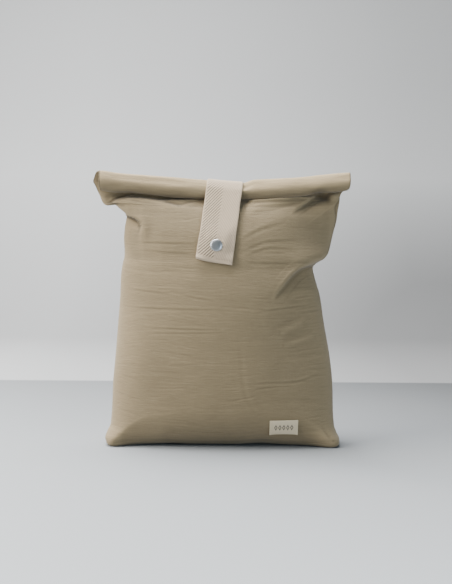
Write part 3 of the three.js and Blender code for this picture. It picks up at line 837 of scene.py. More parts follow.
# ---- Strap ----
STRAP_WIDTH = 38.0
STRAP_TOP_X = 2.4
STRAP_LEAN = 0.13  # how far it goes to the left for each millimetre that it hangs down in front
STRAP_TURN = 0.085  # how much lower the strap lies on the roll for each millimetre to the right
STRAP_SEWN_FROM = 206.0
STRAP_BACK_TOP = 268.0  # where it leaves the cloth behind the bag
STRAP_FRONT_TOP = 238.0  # where it comes down to the cloth in front
STRAP_END = 196.8
STRAP_CURL = 2.0  # how far its edges bend back to the cloth beside the snap
STRAP_BACK_GAP = 0.5
STRAP_REST_GAP = 1.2
STRAP_SNAP_GAP = 3.6
STRAP_GAP_LOST = 0.68  # the share of the snap's gap that is gone again near the free end
STRAP_SUNK = 0.7  # how much lower it lies on the roll's top than the dent alone would have it
STRAP_SINKS = (262.0, 284.0)  # the heights between which it comes to lie in that dent
STRAP_OVER_ROLL = 1.45  # from the middle of the roll's outer turn to the strap's clearance
STRAP_ANGLES = np.arange(15, 186, 7.5)  # the angles round the roll where it lies on it
STRAP_PRESS = 0.85  # the share of the roll's pressed-in place that it follows
STRAP_FLAT_ROOM = 0.5  # how much further out it runs where the two panels lie on each other
STRAP_LOSES = (7.0, 3.0)  # the gap is lost from this far below the snap to this far above the end
STRAP_STEPS = 40  # points of its line up the back, and again down the front
STRAP_FREE = (250.0, 266.0)  # in front it hangs free below the first, and lies on the roll above the second
# Points of the running means that round its line: where it lies on the cloth, where it hangs free,
# and at the change from one to the other
ROUND_CLOSE = 9
ROUND_FREE = 57
ROUND_CHANGE = 21
STRAP_PACKED = 1.8
STRAP_ROW = 0.55  # distance from row to row
STRAP_PLACES = np.concatenate([[-1, -0.985, -0.96], np.linspace(-0.93, 0.93, 60), [0.96, 0.985, 1]])
STRAP_BOW = 1.3  # how far the middle of the free end hangs lower than its edges
FREE_END_TURN = (2.7, 2.3)  # how far its right edge hangs lower, and how far all of it is drawn up
HEM_SEAM = 5.2  # from the free end's edge up to the stitches of its hem
SNAP_HEIGHT = 215.0
SNAP_DIMPLE = (0.3, 8.0)  # how far the webbing's face is drawn in round the snap, and how wide
EDGE_THICKNESS = 0.2  # the webbing's thickness at its very edge, as a share of its full thickness
EDGE_POWER = 14  # how late towards the edge it thins
SELVEDGE = (0.9, 0.95)  # the places across, from 0 to 1, between which the ribs end and the edge begins
SELVEDGE_WAVE = (0.16, 11.0)  # how far the edge wanders, and over what length
END_BOWS_OVER = 30.0  # the length of the free end that bows
END_TURNS_OVER = 45.0  # the length of it that turns
CURL_ABOVE_SNAP = 3.0  # the edges are fully bent back from this far above the snap
CURL_BELOW_SNAP = (15.0, 6.0)  # and straight again between these distances below it
CURL_FROM = 0.38  # the place across, from 0 to 1, where the bend starts
HEM_GROOVE = (0.35, 0.9)  # depth and width of the groove that the hem's stitches pull
STRAP_TURNS_BY = (258.0, 280.0)  # the heights between which it comes to slope with the roll's top
RIB_PITCH = 3.9  # distance between the slanted ribs along the strap
RIB_SLANT = 1.4  # how far a rib runs along the strap for each millimetre away from the middle
RIB_RIGHT = 0.22  # how strong the ribs of the right half are
RIB_POWER = 1.9  # above 1: how narrow the ribs are and how wide the grooves between them
RIB_LEVEL = 0.6  # the share of a rib's height that lies below the webbing's face
RIB_TURN = (-0.02, 0.06)  # where across the ribs turn, and over what distance they fade in from there
RIBS_AT_TOP = (5.0, 17.0)  # they come back between these lengths away from the roll's top
RIBS_AT_HEM = (1.0, -1.5)  # they are gone this far past the hem's stitches, and whole this far before
SEWN_ROWS = (6, 26)  # the rows of the strap where its sewn end is stitched across
HEM_STITCHES = 14
HEM_STITCH = (2.1, 0.55)  # length and width of a stitch
SEWN_STITCH = (1.9, 0.5)


def strap_line():
    """The strap seen from the side, as (y, z) points from its sewn end on the back, over the roll
    and down to its free end, in even steps. Each stretch keeps its clearance from what is below it,
    and the corners between them are rounded by a running mean, wider where the strap hangs free."""
    half = STRAP_PACKED / 2

    def beside(side, levels, gap):
        """The line that keeps a gap to the cloth: the cloth's profile moved out along its normals."""
        body = body_at(levels)
        depth = body["front"] + crest_push(0 * levels, levels) if side < 0 else body["back"]
        apart = PACKED_GAP + STRAP_FLAT_ROOM * (1 - np.clip(depth / FLAT_DEPTH, 0, 1))
        line = np.stack([side * (apart + depth), levels], 1)
        slope = unit(np.gradient(line, axis=0))
        outward = np.stack([slope[:, 1], -slope[:, 0]], 1)
        outward *= np.sign(outward[:, :1] * side)
        return line + outward * (PACKED_CLOTH / 2 + gap[:, None] + half)

    up = np.linspace(STRAP_SEWN_FROM, STRAP_BACK_TOP, STRAP_STEPS)
    down = np.linspace(STRAP_FRONT_TOP, STRAP_END, STRAP_STEPS)
    below_snap, above_end = STRAP_LOSES
    lost = STRAP_GAP_LOST * smoothstep(SNAP_HEIGHT - below_snap, STRAP_END + above_end, down)
    blend = smoothstep(STRAP_FRONT_TOP, SNAP_HEIGHT, down) - lost
    front = beside(-1, down, STRAP_REST_GAP + (STRAP_SNAP_GAP - STRAP_REST_GAP) * blend)
    angle = np.radians(STRAP_ANGLES)
    outer_turn = ROLL_HALF_DEPTH - ROLL_PITCH * angle / (2 * np.pi)
    reach = outer_turn + STRAP_OVER_ROLL + STRAP_BACK_GAP + half
    reach = reach - STRAP_PRESS * roll_press(np.degrees(angle))
    run = ROLL_HALF_HEIGHT - ROLL_HALF_DEPTH
    tilt = roll_tilt(STRAP_TOP_X)
    over_y = reach * np.cos(angle - tilt) - ROLL_HALF_DEPTH * np.cos(tilt)
    over = np.stack([over_y, ROLL_CENTRE + (run + reach) * np.sin(angle)], 1)
    line = np.concatenate([beside(1, up, np.full(STRAP_STEPS, STRAP_BACK_GAP)), over, front])
    line[:, 1] -= (STRAP_DENT + STRAP_SUNK) * smoothstep(*STRAP_SINKS, line[:, 1])
    line = even_line(line, 0.5)
    close, wide = round_corners(line, ROUND_CLOSE), round_corners(line, ROUND_FREE)
    free = np.where(line[:, 0] < 0, 1 - smoothstep(*STRAP_FREE, line[:, 1]), 0)[:, None]
    return even_line(close + (wide - close) * round_corners(free, ROUND_CHANGE), STRAP_ROW)


def even_line(line, step):
    """The same line with points at even steps of its length."""
    length = np.concatenate([[0], np.cumsum(np.linalg.norm(np.diff(line, axis=0), axis=1))])
    at = np.linspace(0, length[-1], int(length[-1] / step) + 1)
    return np.stack([np.interp(at, length, line[:, i]) for i in range(line.shape[1])], 1)


def round_corners(line, width):
    """A running mean over an odd number of points, with the ends held."""
    padded = np.concatenate([
        2 * line[0] - line[width // 2:0:-1], line, 2 * line[-1] - line[-2:-width // 2 - 1:-1]
    ])
    window = np.ones(width) / width
    return np.stack([np.convolve(padded[:, i], window, "valid") for i in range(line.shape[1])], 1)


def strap_frames(settings):
    """The strap's middle line in space with its directions along, across and outward, and lengths
    from the sewn end. The free end is folded back behind the strap as a hem."""
    line = strap_line()
    thickness = settings.thickness / MM
    hem_turn = thickness / 2 + 0.08  # radius of the fold, with a little air inside
    end, before = line[-1], line[-2]
    down = unit(end - before)
    behind = np.array([-down[1], down[0]])
    behind *= np.sign(behind[0])
    angle = np.linspace(0, np.pi, 9)[1:, None]
    fold = end + behind * hem_turn * (1 - np.cos(angle)) + down * hem_turn * np.sin(angle)
    back_up = fold[-1] - down * np.linspace(STRAP_ROW, settings.hem / MM, 15)[:, None]
    line = np.concatenate([line, fold, back_up])
    steps = np.linalg.norm(np.diff(line, axis=0), axis=1)
    length = np.concatenate([[0], np.cumsum(steps)])
    top = line[:, 1].argmax()
    fall = np.maximum(0, line[top, 1] - line[:, 1])
    forward = np.arange(len(line)) > top
    x = STRAP_TOP_X - STRAP_LEAN * np.where(forward, fall, 0)
    centre = np.stack([x, line[:, 0], line[:, 1]], 1)
    along = unit(np.gradient(centre, axis=0))
    across = unit(np.array([1.0, 0, 0]) - along * along[:, :1])
    return centre, along, across, np.cross(along, across), length


def snap_row(centre):
    """The row of the strap where the snap sits: in front, and nearest to its height."""
    behind = centre[:, 1] > -ROLL_HALF_DEPTH
    return np.argmin(np.abs(centre[:, 2] - SNAP_HEIGHT) + 1000 * behind)


def herringbone(s, v, top, hem, settings):
    """Height of the webbing's ribs: a power of a sine along lines that are slanted one way on the
    left half and the other on the right. They are pulled flat over the roll's top and at the hem."""
    phase = (-v + RIB_SLANT * np.abs(s * STRAP_WIDTH / 2)) / RIB_PITCH
    rib = np.abs(np.sin(np.pi * phase)) ** RIB_POWER
    selvedge = smoothstep(*SELVEDGE, np.abs(s))
    turn_at, fade = RIB_TURN
    strength = np.where(s < 0, 1.0, RIB_RIGHT) * (1 - selvedge) * smoothstep(0, fade, np.abs(s - turn_at))
    gone, whole = RIBS_AT_HEM
    strength = strength * smoothstep(*RIBS_AT_TOP, np.abs(v - top)) * smoothstep(hem + gone, hem + whole, v)
    return (settings.rib_height / MM) * (rib - RIB_LEVEL) * strength


def strap_surface(frames, settings):
    """The strap's two faces on a grid of rows along it and places s from -1 to 1 across it, and
    each point's place and rib height. The edges are rounded by (1 - |s|^n)^0.5, where n is the edge
    power. Towards its free end the strap bows as 1 - s^2 and turns, and beside the snap its edges
    bend back."""
    centre, _, across, outward, length = frames
    s, v = STRAP_PLACES[None, :], length[:, None]
    free_end = length[-1] - settings.hem / MM
    hem = free_end - HEM_SEAM
    thick = EDGE_THICKNESS + (1 - EDGE_THICKNESS) * (1 - np.abs(s) ** EDGE_POWER) ** 0.5
    half = settings.thickness / MM / 2 * thick
    wander, wave_length = SELVEDGE_WAVE
    wave = wander * noise(v / wave_length, s * 0 + 3.3, seed=41) * np.sign(s) * (np.abs(s) > SELVEDGE[0])
    from_snap = np.hypot(s * STRAP_WIDTH / 2, v - length[snap_row(centre)])
    deep, wide = SNAP_DIMPLE
    dimple = -deep * bell(from_snap, wide, power=4)
    groove_deep, groove_wide = HEM_GROOVE
    stitch_line = -groove_deep * bell(v - hem, groove_wide)
    ribs = herringbone(s, v, length[centre[:, 2].argmax()], hem, settings)
    bow = STRAP_BOW * (1 - s**2) * smoothstep(free_end - END_BOWS_OVER, free_end, v)
    turn, drawn_up = FREE_END_TURN
    hang = bow + (turn * s - drawn_up) * smoothstep(free_end - END_TURNS_OVER, free_end, v)
    middle = (
        centre[:, None, :]
        + across[:, None, :] * (s * STRAP_WIDTH / 2 + wave)[..., None]
        + np.array([0, 0, -1.0]) * hang[..., None]
    )
    x, y, z = middle[..., 0], middle[..., 1], middle[..., 2]
    straight, bent = CURL_BELOW_SNAP
    curl = smoothstep(STRAP_FRONT_TOP, SNAP_HEIGHT + CURL_ABOVE_SNAP, z)
    curl = curl * smoothstep(SNAP_HEIGHT - straight, SNAP_HEIGHT - bent, z)
    y += STRAP_CURL * curl * smoothstep(CURL_FROM, 1.0, np.abs(s)) * (y < -ROLL_HALF_DEPTH)
    turned = STRAP_TURN * (x - STRAP_TOP_X) * smoothstep(*STRAP_TURNS_BY, z)
    z += smile_at(x / ROLL_HALF_WIDTH, np.minimum(z, ROLL_CENTRE)) - turned
    face = middle + outward[:, None, :] * (half + ribs + dimple + stitch_line)[..., None]
    rear = middle - outward[:, None, :] * (half - ribs * 0.5)[..., None]
    place = np.stack(np.broadcast_arrays(s * STRAP_WIDTH / 2 * MM, v * MM, ribs * MM), -1)
    return face, rear, place


def hem_stitches(face, frames, settings):
    """Places of the hem's stitches, evenly across one row of the strap, with the directions along
    their seam and outward."""
    outward, length = frames[3:]
    row = np.argmin(np.abs(length - (length[-1] - settings.hem / MM - HEM_SEAM)))
    columns = np.linspace(3, face.shape[1] - 4, HEM_STITCHES).astype(int)
    places = face[row, columns]
    return places, unit(np.gradient(places, axis=0)), np.repeat(outward[row][None], len(columns), 0)


def sewn_end_stitches(face, frames):
    """Places of the stitches that hold the sewn end, in a box of two rows across the strap and two
    along it, with the directions along their seam and outward."""
    along, across, outward = frames[1:4]
    first, last = SEWN_ROWS
    side_rows = np.arange(first, last + 1, 4)
    rows_across = [face[first, 5:-4:4], face[last, 5:-4:4]]
    count = len(rows_across[0])
    places = np.concatenate(rows_across + [face[side_rows, 4], face[side_rows, -5]])
    ways = np.concatenate([
        np.repeat(across[first][None], count, 0), np.repeat(across[last][None], count, 0),
        along[side_rows], along[side_rows],
    ])
    return places, ways, np.repeat(outward[(first + last) // 2][None], len(places), 0)


# ---- Snap ----
CAP_RIM = ((0.9, -0.1), (0.985, 0.02), (1, 0.3), (0.992, 0.52), (0.955, 0.7))  # share of radius, height
DOME_SHARE = 0.93  # the dome's radius, as a share of the cap's
DOME_FROM = 0.72  # height where the dome starts
SOCKET_DEPTH = 1.4
SOCKET_PROFILE = ((2.0, 0), (5.0, 0), (5.0, 0.35), (4.7, 0.5), (3.4, 0.6), (3.2, 1.4), (2.0, 1.4))
STUD_DEPTH = 0.9
STUD_PROFILE = ((0.5, 0), (4.4, 0), (4.4, 0.3), (4.1, 0.45), (1.9, 0.5), (1.8, 0.9), (0.5, 0.9))


def cap_profile(settings):
    """The cap's (radius, height) profile: a flat back, a rolled rim and a dome, a quarter ellipse."""
    radius, rise = settings.radius / MM, settings.rise / MM
    angle = np.radians(np.linspace(0, 90, 15))
    rim = [(radius * share, height) for share, height in CAP_RIM]
    dome = np.stack([radius * DOME_SHARE * np.cos(angle), DOME_FROM + (rise - DOME_FROM) * np.sin(angle)], 1)
    return np.concatenate([[(radius * 0.5, -0.1)], rim, dome[:-1], [(0.02, rise)]])


# ---- Label ----
LABEL_PLACE = (65.6, 24.0)  # x and height of its middle
LABEL_CLEARANCE = 0.55
LABEL_THICKNESS = 0.35
LABEL_CURL = (0.5, 2.5, 4.0)  # how far its lower corners stand off, over what width and height
LABEL_PUFF = 0.25  # how much thicker it is inside its stitched edge
LABEL_SAG = 0.55  # how far its lower corners hang
LABEL_GRID = (61, 31)  # points across and up
LABEL_EDGE_POWER = 8  # how late towards the edge it gets thinner
LABEL_BACK = 0.1  # how far its back reaches into its clearance from the cloth
LABEL_STITCH = (1.3, 0.3)  # length and width of a stitch
LABEL_STITCH_ROWS = np.arange(3, 30, 4)  # the rows of its grid where its sides are stitched


def label_surface(settings):
    """The label's two faces and its normals: the front of the bag moved out along its normals by
    the clearance, with curled lower corners, which also hang a little, and a puffed middle."""
    wide, tall = settings.width / MM, settings.height / MM
    u = np.linspace(-wide / 2, wide / 2, LABEL_GRID[0])[None, :]
    v = np.linspace(-tall / 2, tall / 2, LABEL_GRID[1])[:, None]
    x, z = np.broadcast_arrays(LABEL_PLACE[0] + u + 0 * v, LABEL_PLACE[1] + v + 0 * u)
    level = z.copy()
    for _ in range(6):  # steps towards the level whose cloth, once lifted, lies at z
        level = z - front_lift(x / BASE_HALF_WIDTH) * (1 - smoothstep(0, LIFT_HEIGHT, level))
    body = body_at(level)
    across = 2 * (x - body["left"]) / (body["right"] - body["left"]) - 1
    middle = on_body(np.arcsin(across), level)
    normals = grid_normals(middle)
    off, curl_width, curl_height = LABEL_CURL
    curl = off * bell(np.abs(u) - wide / 2, curl_width) * bell(v + tall / 2, curl_height)
    lift = (PACKED_CLOTH / 2 + LABEL_CLEARANCE + curl)[..., None]
    thick_u = 1 - np.abs(2 * u / wide) ** LABEL_EDGE_POWER
    thick_v = 1 - np.abs(2 * v / tall) ** LABEL_EDGE_POWER
    puff = (LABEL_PUFF * thick_u * thick_v)[..., None]
    hang = -LABEL_SAG * (2 * u / wide) ** 2 * (v < 0) * (-2 * v / tall)
    sag = np.stack([0 * hang, 0 * hang, hang], -1)
    outer = middle + normals * (lift + LABEL_THICKNESS + puff) + sag
    inner = middle + normals * (lift - LABEL_BACK) + sag
    place = np.stack(np.broadcast_arrays(u * MM, v * MM, 0 * u), -1)
    return outer, inner, normals, place


# ---- Finishes ----
# Grain: waves of noise in a metre, across and along the cloth, or in X, Y and Z on thread and metal
WEFT_GRAIN = (90, 1500, 0)
WARP_GRAIN = (1400, 60, 0)
SLUB_GRAIN = (50, 620, 0)
WANDER_GRAIN = (220, 220, 0)
PATCH_GRAIN = (28, 34, 0)
FINE_GRAIN = (95, 430, 0)
FLUFF_GRAIN = (900, 900, 0)
SOIL_GRAIN = (60, 45, 0)
PLY_GRAIN = (2600, 2600, 2600)
SCUFF_GRAIN = (900, 900, 5200)
FILM_GRAIN = (260, 260, 260)
FRAY_GRAIN = (1200, 1200, 0)
YARN_PITCH = 0.00095  # of the webbing
YARN_SLANT = 0.8  # how far a yarn runs along the strap for each millimetre away from the middle
SATIN_PITCH = (0.00034, 0.0005)  # of the label's threads, across and up
# The label's lozenges: half the distance between two, their width as a share of their height, the
# soft edges of the outside and of the hole, and the half-length of their row with its soft end
LOZENGE_HALF_PITCH = 0.0021
LOZENGE_WIDTH = 0.55
LOZENGE_OUTSIDE = (0.0017, 0.0019)
LOZENGE_HOLE = (0.0007, 0.0009)
LOZENGE_ROW = (0.0104, 0.0106)
# Relief of each finish, and the rib heights between which the webbing's painted groove shade gives way to its
# full colour
WEBBING_RELIEF = 0.00022
THREAD_RELIEF = 0.0001
SNAP_RELIEF = 0.00001
LABEL_RELIEF = 0.00012
RIB_PAINTED_SHADE = (-0.00016, 0.00007)


class Socket:
    """One output of a shader node. Arithmetic on it adds the Math nodes that work it out."""

    def __init__(self, finish, output):
        self.finish = finish
        self.output = output

    def __add__(self, other):
        return self.finish.maths("ADD", self, other)

    def __sub__(self, other):
        return self.finish.maths("SUBTRACT", self, other)

    def __mul__(self, other):
        return self.finish.maths("MULTIPLY", self, other)

    def __rsub__(self, other):
        return self.finish.maths("SUBTRACT", other, self)

    __radd__ = __add__
    __rmul__ = __mul__


class Finish:
    """A material whose nodes are written as expressions."""

    def __init__(self, name):
        self.material = bpy.data.materials.new(name)
        self.material.use_nodes = True
        self.tree = self.material.node_tree
        self.shader = self.tree.nodes["Principled BSDF"]

    def node(self, kind, settings=(), values=(), output=0):
        """One node: its settings first, then the values or links of its sockets."""
        made = self.tree.nodes.new(kind)
        for name, value in dict(settings).items():
            setattr(made, name, value)
        for socket, value in dict(values).items():
            self.feed(made.inputs[socket], value)
        return Socket(self, made.outputs[output])

    def feed(self, target, value):
        """Links a socket to an output, or sets its value."""
        if isinstance(value, Socket):
            self.tree.links.new(value.output, target)
        else:
            target.default_value = value

    def maths(self, operation, *values):
        """A Math node."""
        return self.node("ShaderNodeMath", {"operation": operation}, enumerate(values))

    def attribute(self, name):
        """The vector that an attribute of the mesh holds."""
        return self.node("ShaderNodeAttribute", {"attribute_name": name}, (), "Vector")

    def part(self, vector, axis):
        """One number of a vector: 0, 1 or 2 for X, Y or Z."""
        return self.node("ShaderNodeSeparateXYZ", (), {0: vector}, axis)

    def grain(self, vector, scale, detail=2.0, rough=0.5):
        """Noise from 0 to 1 on a vector that is first scaled along each axis."""
        scaled = self.node("ShaderNodeVectorMath", {"operation": "MULTIPLY"}, {0: vector, 1: scale})
        values = {"Vector": scaled, "Scale": 1.0, "Detail": detail, "Roughness": rough}
        return self.node("ShaderNodeTexNoise", (), values)

    def between(self, value, low, high, to_low=0.0, to_high=1.0):
        """The value spread from one range to another, held at the ends."""
        values = (value, low, high, to_low, to_high)
        return self.node("ShaderNodeMapRange", {"clamp": True}, enumerate(values))

    def mixed(self, share, first, second):
        """A colour between two colours."""
        return self.node("ShaderNodeMix", {"data_type": "RGBA"}, {0: share, 6: first, 7: second}, 2)

    def bump(self, height, distance):
        """A relief, as normals: its height from 0 to 1 times a distance."""
        return self.node("ShaderNodeBump", (), {"Strength": 1.0, "Distance": distance, "Height": height})

    def done(self, **values):
        """Feeds the shader's own sockets and returns the material."""
        for name, value in values.items():
            self.feed(self.shader.inputs[name.replace("_", " ")], value)
        return self.material


def rgba(colour, factor=1.0):
    """A colour made lighter or darker, and opaque."""
    return tuple(channel * factor for channel in colour[:3]) + (1.0,)


def canvas_finish(settings):
    """Plain-woven cotton and linen: threads over and under each other, thick places in the yarns,
    uneven dye, creases rubbed paler on their ridges as wear, painted shade in the valleys of creases,
    in sharp folds, in the seams with their own dark line, and under the roll, and a painted highlight
    on top of the roll."""
    f = Finish("woven_canvas")
    place = f.attribute("cloth")
    u, v, wear_and_painted_light = (f.part(place, axis) for axis in range(3))
    turn = 2 * math.pi / settings.thread_pitch
    wander = (f.grain(place, WANDER_GRAIN, 1) - 0.5) * 1.6
    over = f.maths("SINE", u * turn + wander)
    under = f.maths("SINE", v * turn + wander)
    weave = over * under * 0.5 + 0.5
    weft = f.grain(place, WEFT_GRAIN, 3, 0.6)
    warp = f.grain(place, WARP_GRAIN, 2, 0.55)
    slub = f.between(f.grain(place, SLUB_GRAIN, 2), 0.60, 0.78)
    patches = f.grain(place, PATCH_GRAIN, 3)
    fine = f.grain(place, FINE_GRAIN, 4, 0.62)
    thread = weft * 0.75 + warp * 0.25
    shade = f.between(thread, 0.32, 0.68)
    colour = f.mixed(shade, rgba(settings.colour, 0.87), rgba(settings.colour, 1.11))
    colour = f.mixed(slub * 0.5, colour, rgba(settings.slub_colour))
    colour = f.mixed(f.between(patches, 0.35, 0.65) * 0.35, colour, rgba(settings.colour, 0.86))
    # painted highlight on the roll's top and wear on crease ridges; painted shade in valleys, folds, seams
    # and under the roll
    wear_and_painted_highlight = f.between(wear_and_painted_light, 0.02, 1.6, 0.0, 0.9)
    painted_shade_in_valleys = f.between(wear_and_painted_light, -1.2, -0.02, 0.9, 0.0)
    colour = f.mixed(painted_shade_in_valleys, colour, rgba(settings.colour, 0.55))
    colour = f.mixed(wear_and_painted_highlight, colour, rgba(settings.colour, 1.6))
    height = weave * 0.25 + thread * 0.35 + slub * 0.35 + fine * 1.7
    rough = f.between(thread, 0.2, 0.8, 0.92, 0.82)
    return f.done(
        Base_Color=colour, Roughness=rough, Normal=f.bump(height, settings.weave_depth),
        Sheen_Weight=0.12, Sheen_Roughness=0.6, Specular_IOR_Level=0.25,
    )


def webbing_finish(settings):
    """Herringbone webbing of undyed cotton: fine yarns that cross the slanted ribs, and painted shade
    in the grooves between the ribs."""
    f = Finish("herringbone_webbing")
    place = f.attribute("cloth")
    u, v, rib = (f.part(place, axis) for axis in range(3))
    side = f.maths("ABSOLUTE", u)
    slant = (side * RIB_SLANT - v) * (2 * math.pi / (RIB_PITCH * MM))
    yarn = f.maths("SINE", (side * YARN_SLANT + v) * (2 * math.pi / YARN_PITCH)) * 0.5 + 0.5
    fluff = f.grain(place, FLUFF_GRAIN, 3, 0.6)
    soil = f.grain(place, SOIL_GRAIN, 3)
    # painted shade in the grooves between the ribs
    shade = f.between(rib, *RIB_PAINTED_SHADE)
    colour = f.mixed(shade, rgba(settings.colour, 0.2), rgba(settings.colour, 1.06))
    colour = f.mixed(yarn * 0.22, colour, rgba(settings.colour, 0.82))
    colour = f.mixed(f.between(soil, 0.4, 0.7) * 0.25, colour, rgba(settings.colour, 0.86))
    height = yarn * 0.5 + fluff * 0.6 + f.maths("SINE", slant) * 0.1
    return f.done(
        Base_Color=colour, Roughness=f.between(fluff, 0.3, 0.7, 0.95, 0.85),
        Normal=f.bump(height, WEBBING_RELIEF), Sheen_Weight=0.2, Sheen_Roughness=0.5, Specular_IOR_Level=0.25,
    )


def thread_finish(name, colour):
    """Sewing thread, with the uneven tone and relief of its plies."""
    f = Finish(name)
    spot = f.node("ShaderNodeTexCoord", (), (), "Object")
    ply = f.grain(spot, PLY_GRAIN, 2)
    return f.done(
        Base_Color=f.mixed(ply, rgba(colour, 0.75), rgba(colour, 1.1)), Roughness=0.75,
        Normal=f.bump(ply, THREAD_RELIEF), Sheen_Weight=0.1,
    )


def snap_finish(settings):
    """Nickel-plated brass, with small scuffs and fingerprints."""
    f = Finish("nickel_snap")
    spot = f.node("ShaderNodeTexCoord", (), (), "Object")
    scuffs = f.grain(spot, SCUFF_GRAIN, 3, 0.6)
    film = f.grain(spot, FILM_GRAIN, 2)
    rough = f.between(film, 0.35, 0.65, 0.34, 0.42) + f.between(scuffs, 0.55, 0.75, 0.0, 0.06)
    colour = f.mixed(f.between(scuffs, 0.4, 0.7), rgba(settings.colour), rgba(settings.colour, 0.86))
    return f.done(Base_Color=colour, Roughness=rough, Metallic=1.0, Normal=f.bump(scuffs, SNAP_RELIEF))


def label_finish(settings):
    """A woven label: fine satin threads and a plain row of small lozenges in dark thread."""
    f = Finish("woven_label")
    place = f.attribute("cloth")
    u, v = f.part(place, 0), f.part(place, 1)
    turn_u, turn_v = (2 * math.pi / pitch for pitch in SATIN_PITCH)
    threads = f.maths("SINE", u * turn_u) * f.maths("SINE", v * turn_v)
    fray = f.grain(place, FRAY_GRAIN, 2)
    from_middle = f.maths("ABSOLUTE", f.maths("WRAP", u, LOZENGE_HALF_PITCH, -LOZENGE_HALF_PITCH))
    lozenge = from_middle + f.maths("ABSOLUTE", v) * LOZENGE_WIDTH
    row = f.between(f.maths("ABSOLUTE", u), *LOZENGE_ROW, 1.0, 0.0)
    mark = f.between(lozenge, *LOZENGE_OUTSIDE, 1.0, 0.0) * f.between(lozenge, *LOZENGE_HOLE) * row
    colour = f.mixed(f.between(fray, 0.3, 0.7) * 0.5, rgba(settings.colour), rgba(settings.colour, 0.88))
    colour = f.mixed(mark, colour, rgba(settings.mark_colour))
    height = threads * 0.4 + fray * 0.5 + mark * 0.5
    return f.done(
        Base_Color=colour, Roughness=f.between(fray, 0.3, 0.7, 0.78, 0.66),
        Normal=f.bump(height, LABEL_RELIEF), Sheen_Weight=0.15, Specular_IOR_Level=0.3,
    )


def stage_finish(settings):
    """Matt paint: a pale table, and behind it a slightly darker ground that runs up as a wall. Painted
    shade makes the table darker towards the back and the right, and the wall darker towards the right
    and the bottom.
    """
    f = Finish("studio_paint")
    spot = f.node("ShaderNodeTexCoord", (), (), "Object")
    behind = f.between(f.part(spot, 1), settings.table_back, settings.table_back + 0.012)
    # painted shade: table darker towards the back and right, wall towards the right and bottom, as light
    # falls off
    far = f.between(f.part(spot, 1), -0.45, settings.table_back)
    right = f.between(f.part(spot, 0), -0.4, 0.5)
    low = f.between(f.part(spot, 2), 0.0, 0.4, 1.0, 0.0)
    table = f.mixed(far, rgba(settings.table_colour, 0.63), rgba(settings.table_colour, 0.35))
    table = f.mixed(right * (far * 0.9 + 0.2), table, rgba(settings.table_colour, 0.13))
    wall = f.mixed(right * (low * 0.9 + 0.35), rgba(settings.wall_colour), rgba(settings.wall_colour, 0.35))
    wall = f.mixed(low * 0.5, wall, rgba(settings.wall_colour, 0.35))
    colour = f.mixed(behind, table, wall)
    return f.done(Base_Color=colour, Roughness=0.9, Specular_IOR_Level=0.2)


# ---- What a user may change ----
class ClothSettings(bpy.types.PropertyGroup):
    thickness: FloatProperty(
        name="Thickness", description="Thickness of the body cloth", default=0.0009, unit="LENGTH"
    )
    cut_width: FloatProperty(
        name="Cut width", description="Width of a panel between its seams", default=0.283, unit="LENGTH"
    )
    cut_length: FloatProperty(
        name="Cut length", description="Length of a panel from the bottom seam to the mouth",
        default=0.378, unit="LENGTH",
    )
    crease_height: FloatProperty(
        name="Crease height", description="Height of the small creases", default=0.0003, unit="LENGTH"
    )
    thread_pitch: FloatProperty(
        name="Thread pitch", description="Two threads of the weave", default=0.0011, unit="LENGTH"
    )
    weave_depth: FloatProperty(
        name="Weave depth", description="Relief of the weave", default=0.00028, unit="LENGTH"
    )
    colour: FloatVectorProperty(
        name="Colour", description="Dye of the cloth", default=(0.187, 0.143, 0.081), subtype="COLOR"
    )
    slub_colour: FloatVectorProperty(
        name="Slub colour", description="Thick places in the yarn", default=(0.235, 0.185, 0.115),
        subtype="COLOR",
    )


class StrapSettings(bpy.types.PropertyGroup):
    thickness: FloatProperty(
        name="Thickness", description="Thickness of the webbing", default=0.0015, unit="LENGTH"
    )
    hem: FloatProperty(
        name="Hem", description="Length folded back at the free end", default=0.009, unit="LENGTH"
    )
    rib_height: FloatProperty(
        name="Rib height", description="Height of the slanted ribs", default=0.0003, unit="LENGTH"
    )
    colour: FloatVectorProperty(
        name="Colour", description="Undyed cotton", default=(0.478, 0.377, 0.27), subtype="COLOR"
    )


class SnapSettings(bpy.types.PropertyGroup):
    radius: FloatProperty(name="Radius", description="Radius of the cap", default=0.0065, unit="LENGTH")
    rise: FloatProperty(name="Rise", description="Height of the cap's dome", default=0.0018, unit="LENGTH")
    colour: FloatVectorProperty(
        name="Colour", description="Nickel plating", default=(0.38, 0.395, 0.41), subtype="COLOR"
    )


class LabelSettings(bpy.types.PropertyGroup):
    width: FloatProperty(name="Width", description="Width of the label", default=0.030, unit="LENGTH")
    height: FloatProperty(name="Height", description="Height of the label", default=0.0152, unit="LENGTH")
    colour: FloatVectorProperty(
        name="Colour", description="Ground of the label", default=(0.6, 0.505, 0.35), subtype="COLOR"
    )
    mark_colour: FloatVectorProperty(
        name="Mark colour", description="Thread of the row of lozenges", default=(0.12, 0.1, 0.085),
        subtype="COLOR",
    )


class StageSettings(bpy.types.PropertyGroup):
    table_back: FloatProperty(
        name="Table's back edge", description="Where the darker ground starts", default=0.447, unit="LENGTH"
    )
    table_colour: FloatVectorProperty(
        name="Table", description="Colour of the table", default=(0.572, 0.605, 0.64), subtype="COLOR"
    )
    wall_colour: FloatVectorProperty(
        name="Wall", description="Colour of the wall", default=(0.525, 0.535, 0.55), subtype="COLOR"
    )
    window_power: FloatProperty(
        name="Window light", description="Power of the main light", default=84.0, unit="POWER"
    )
    sky_power: FloatProperty(
        name="Sky light", description="Power of the light from above", default=100.0, unit="POWER"
    )
    room_power: FloatProperty(
        name="Room light", description="Power of the light from the right", default=13.5, unit="POWER"
    )
    ambient: FloatProperty(name="Ambient", description="Strength of the light from all round", default=0.16)


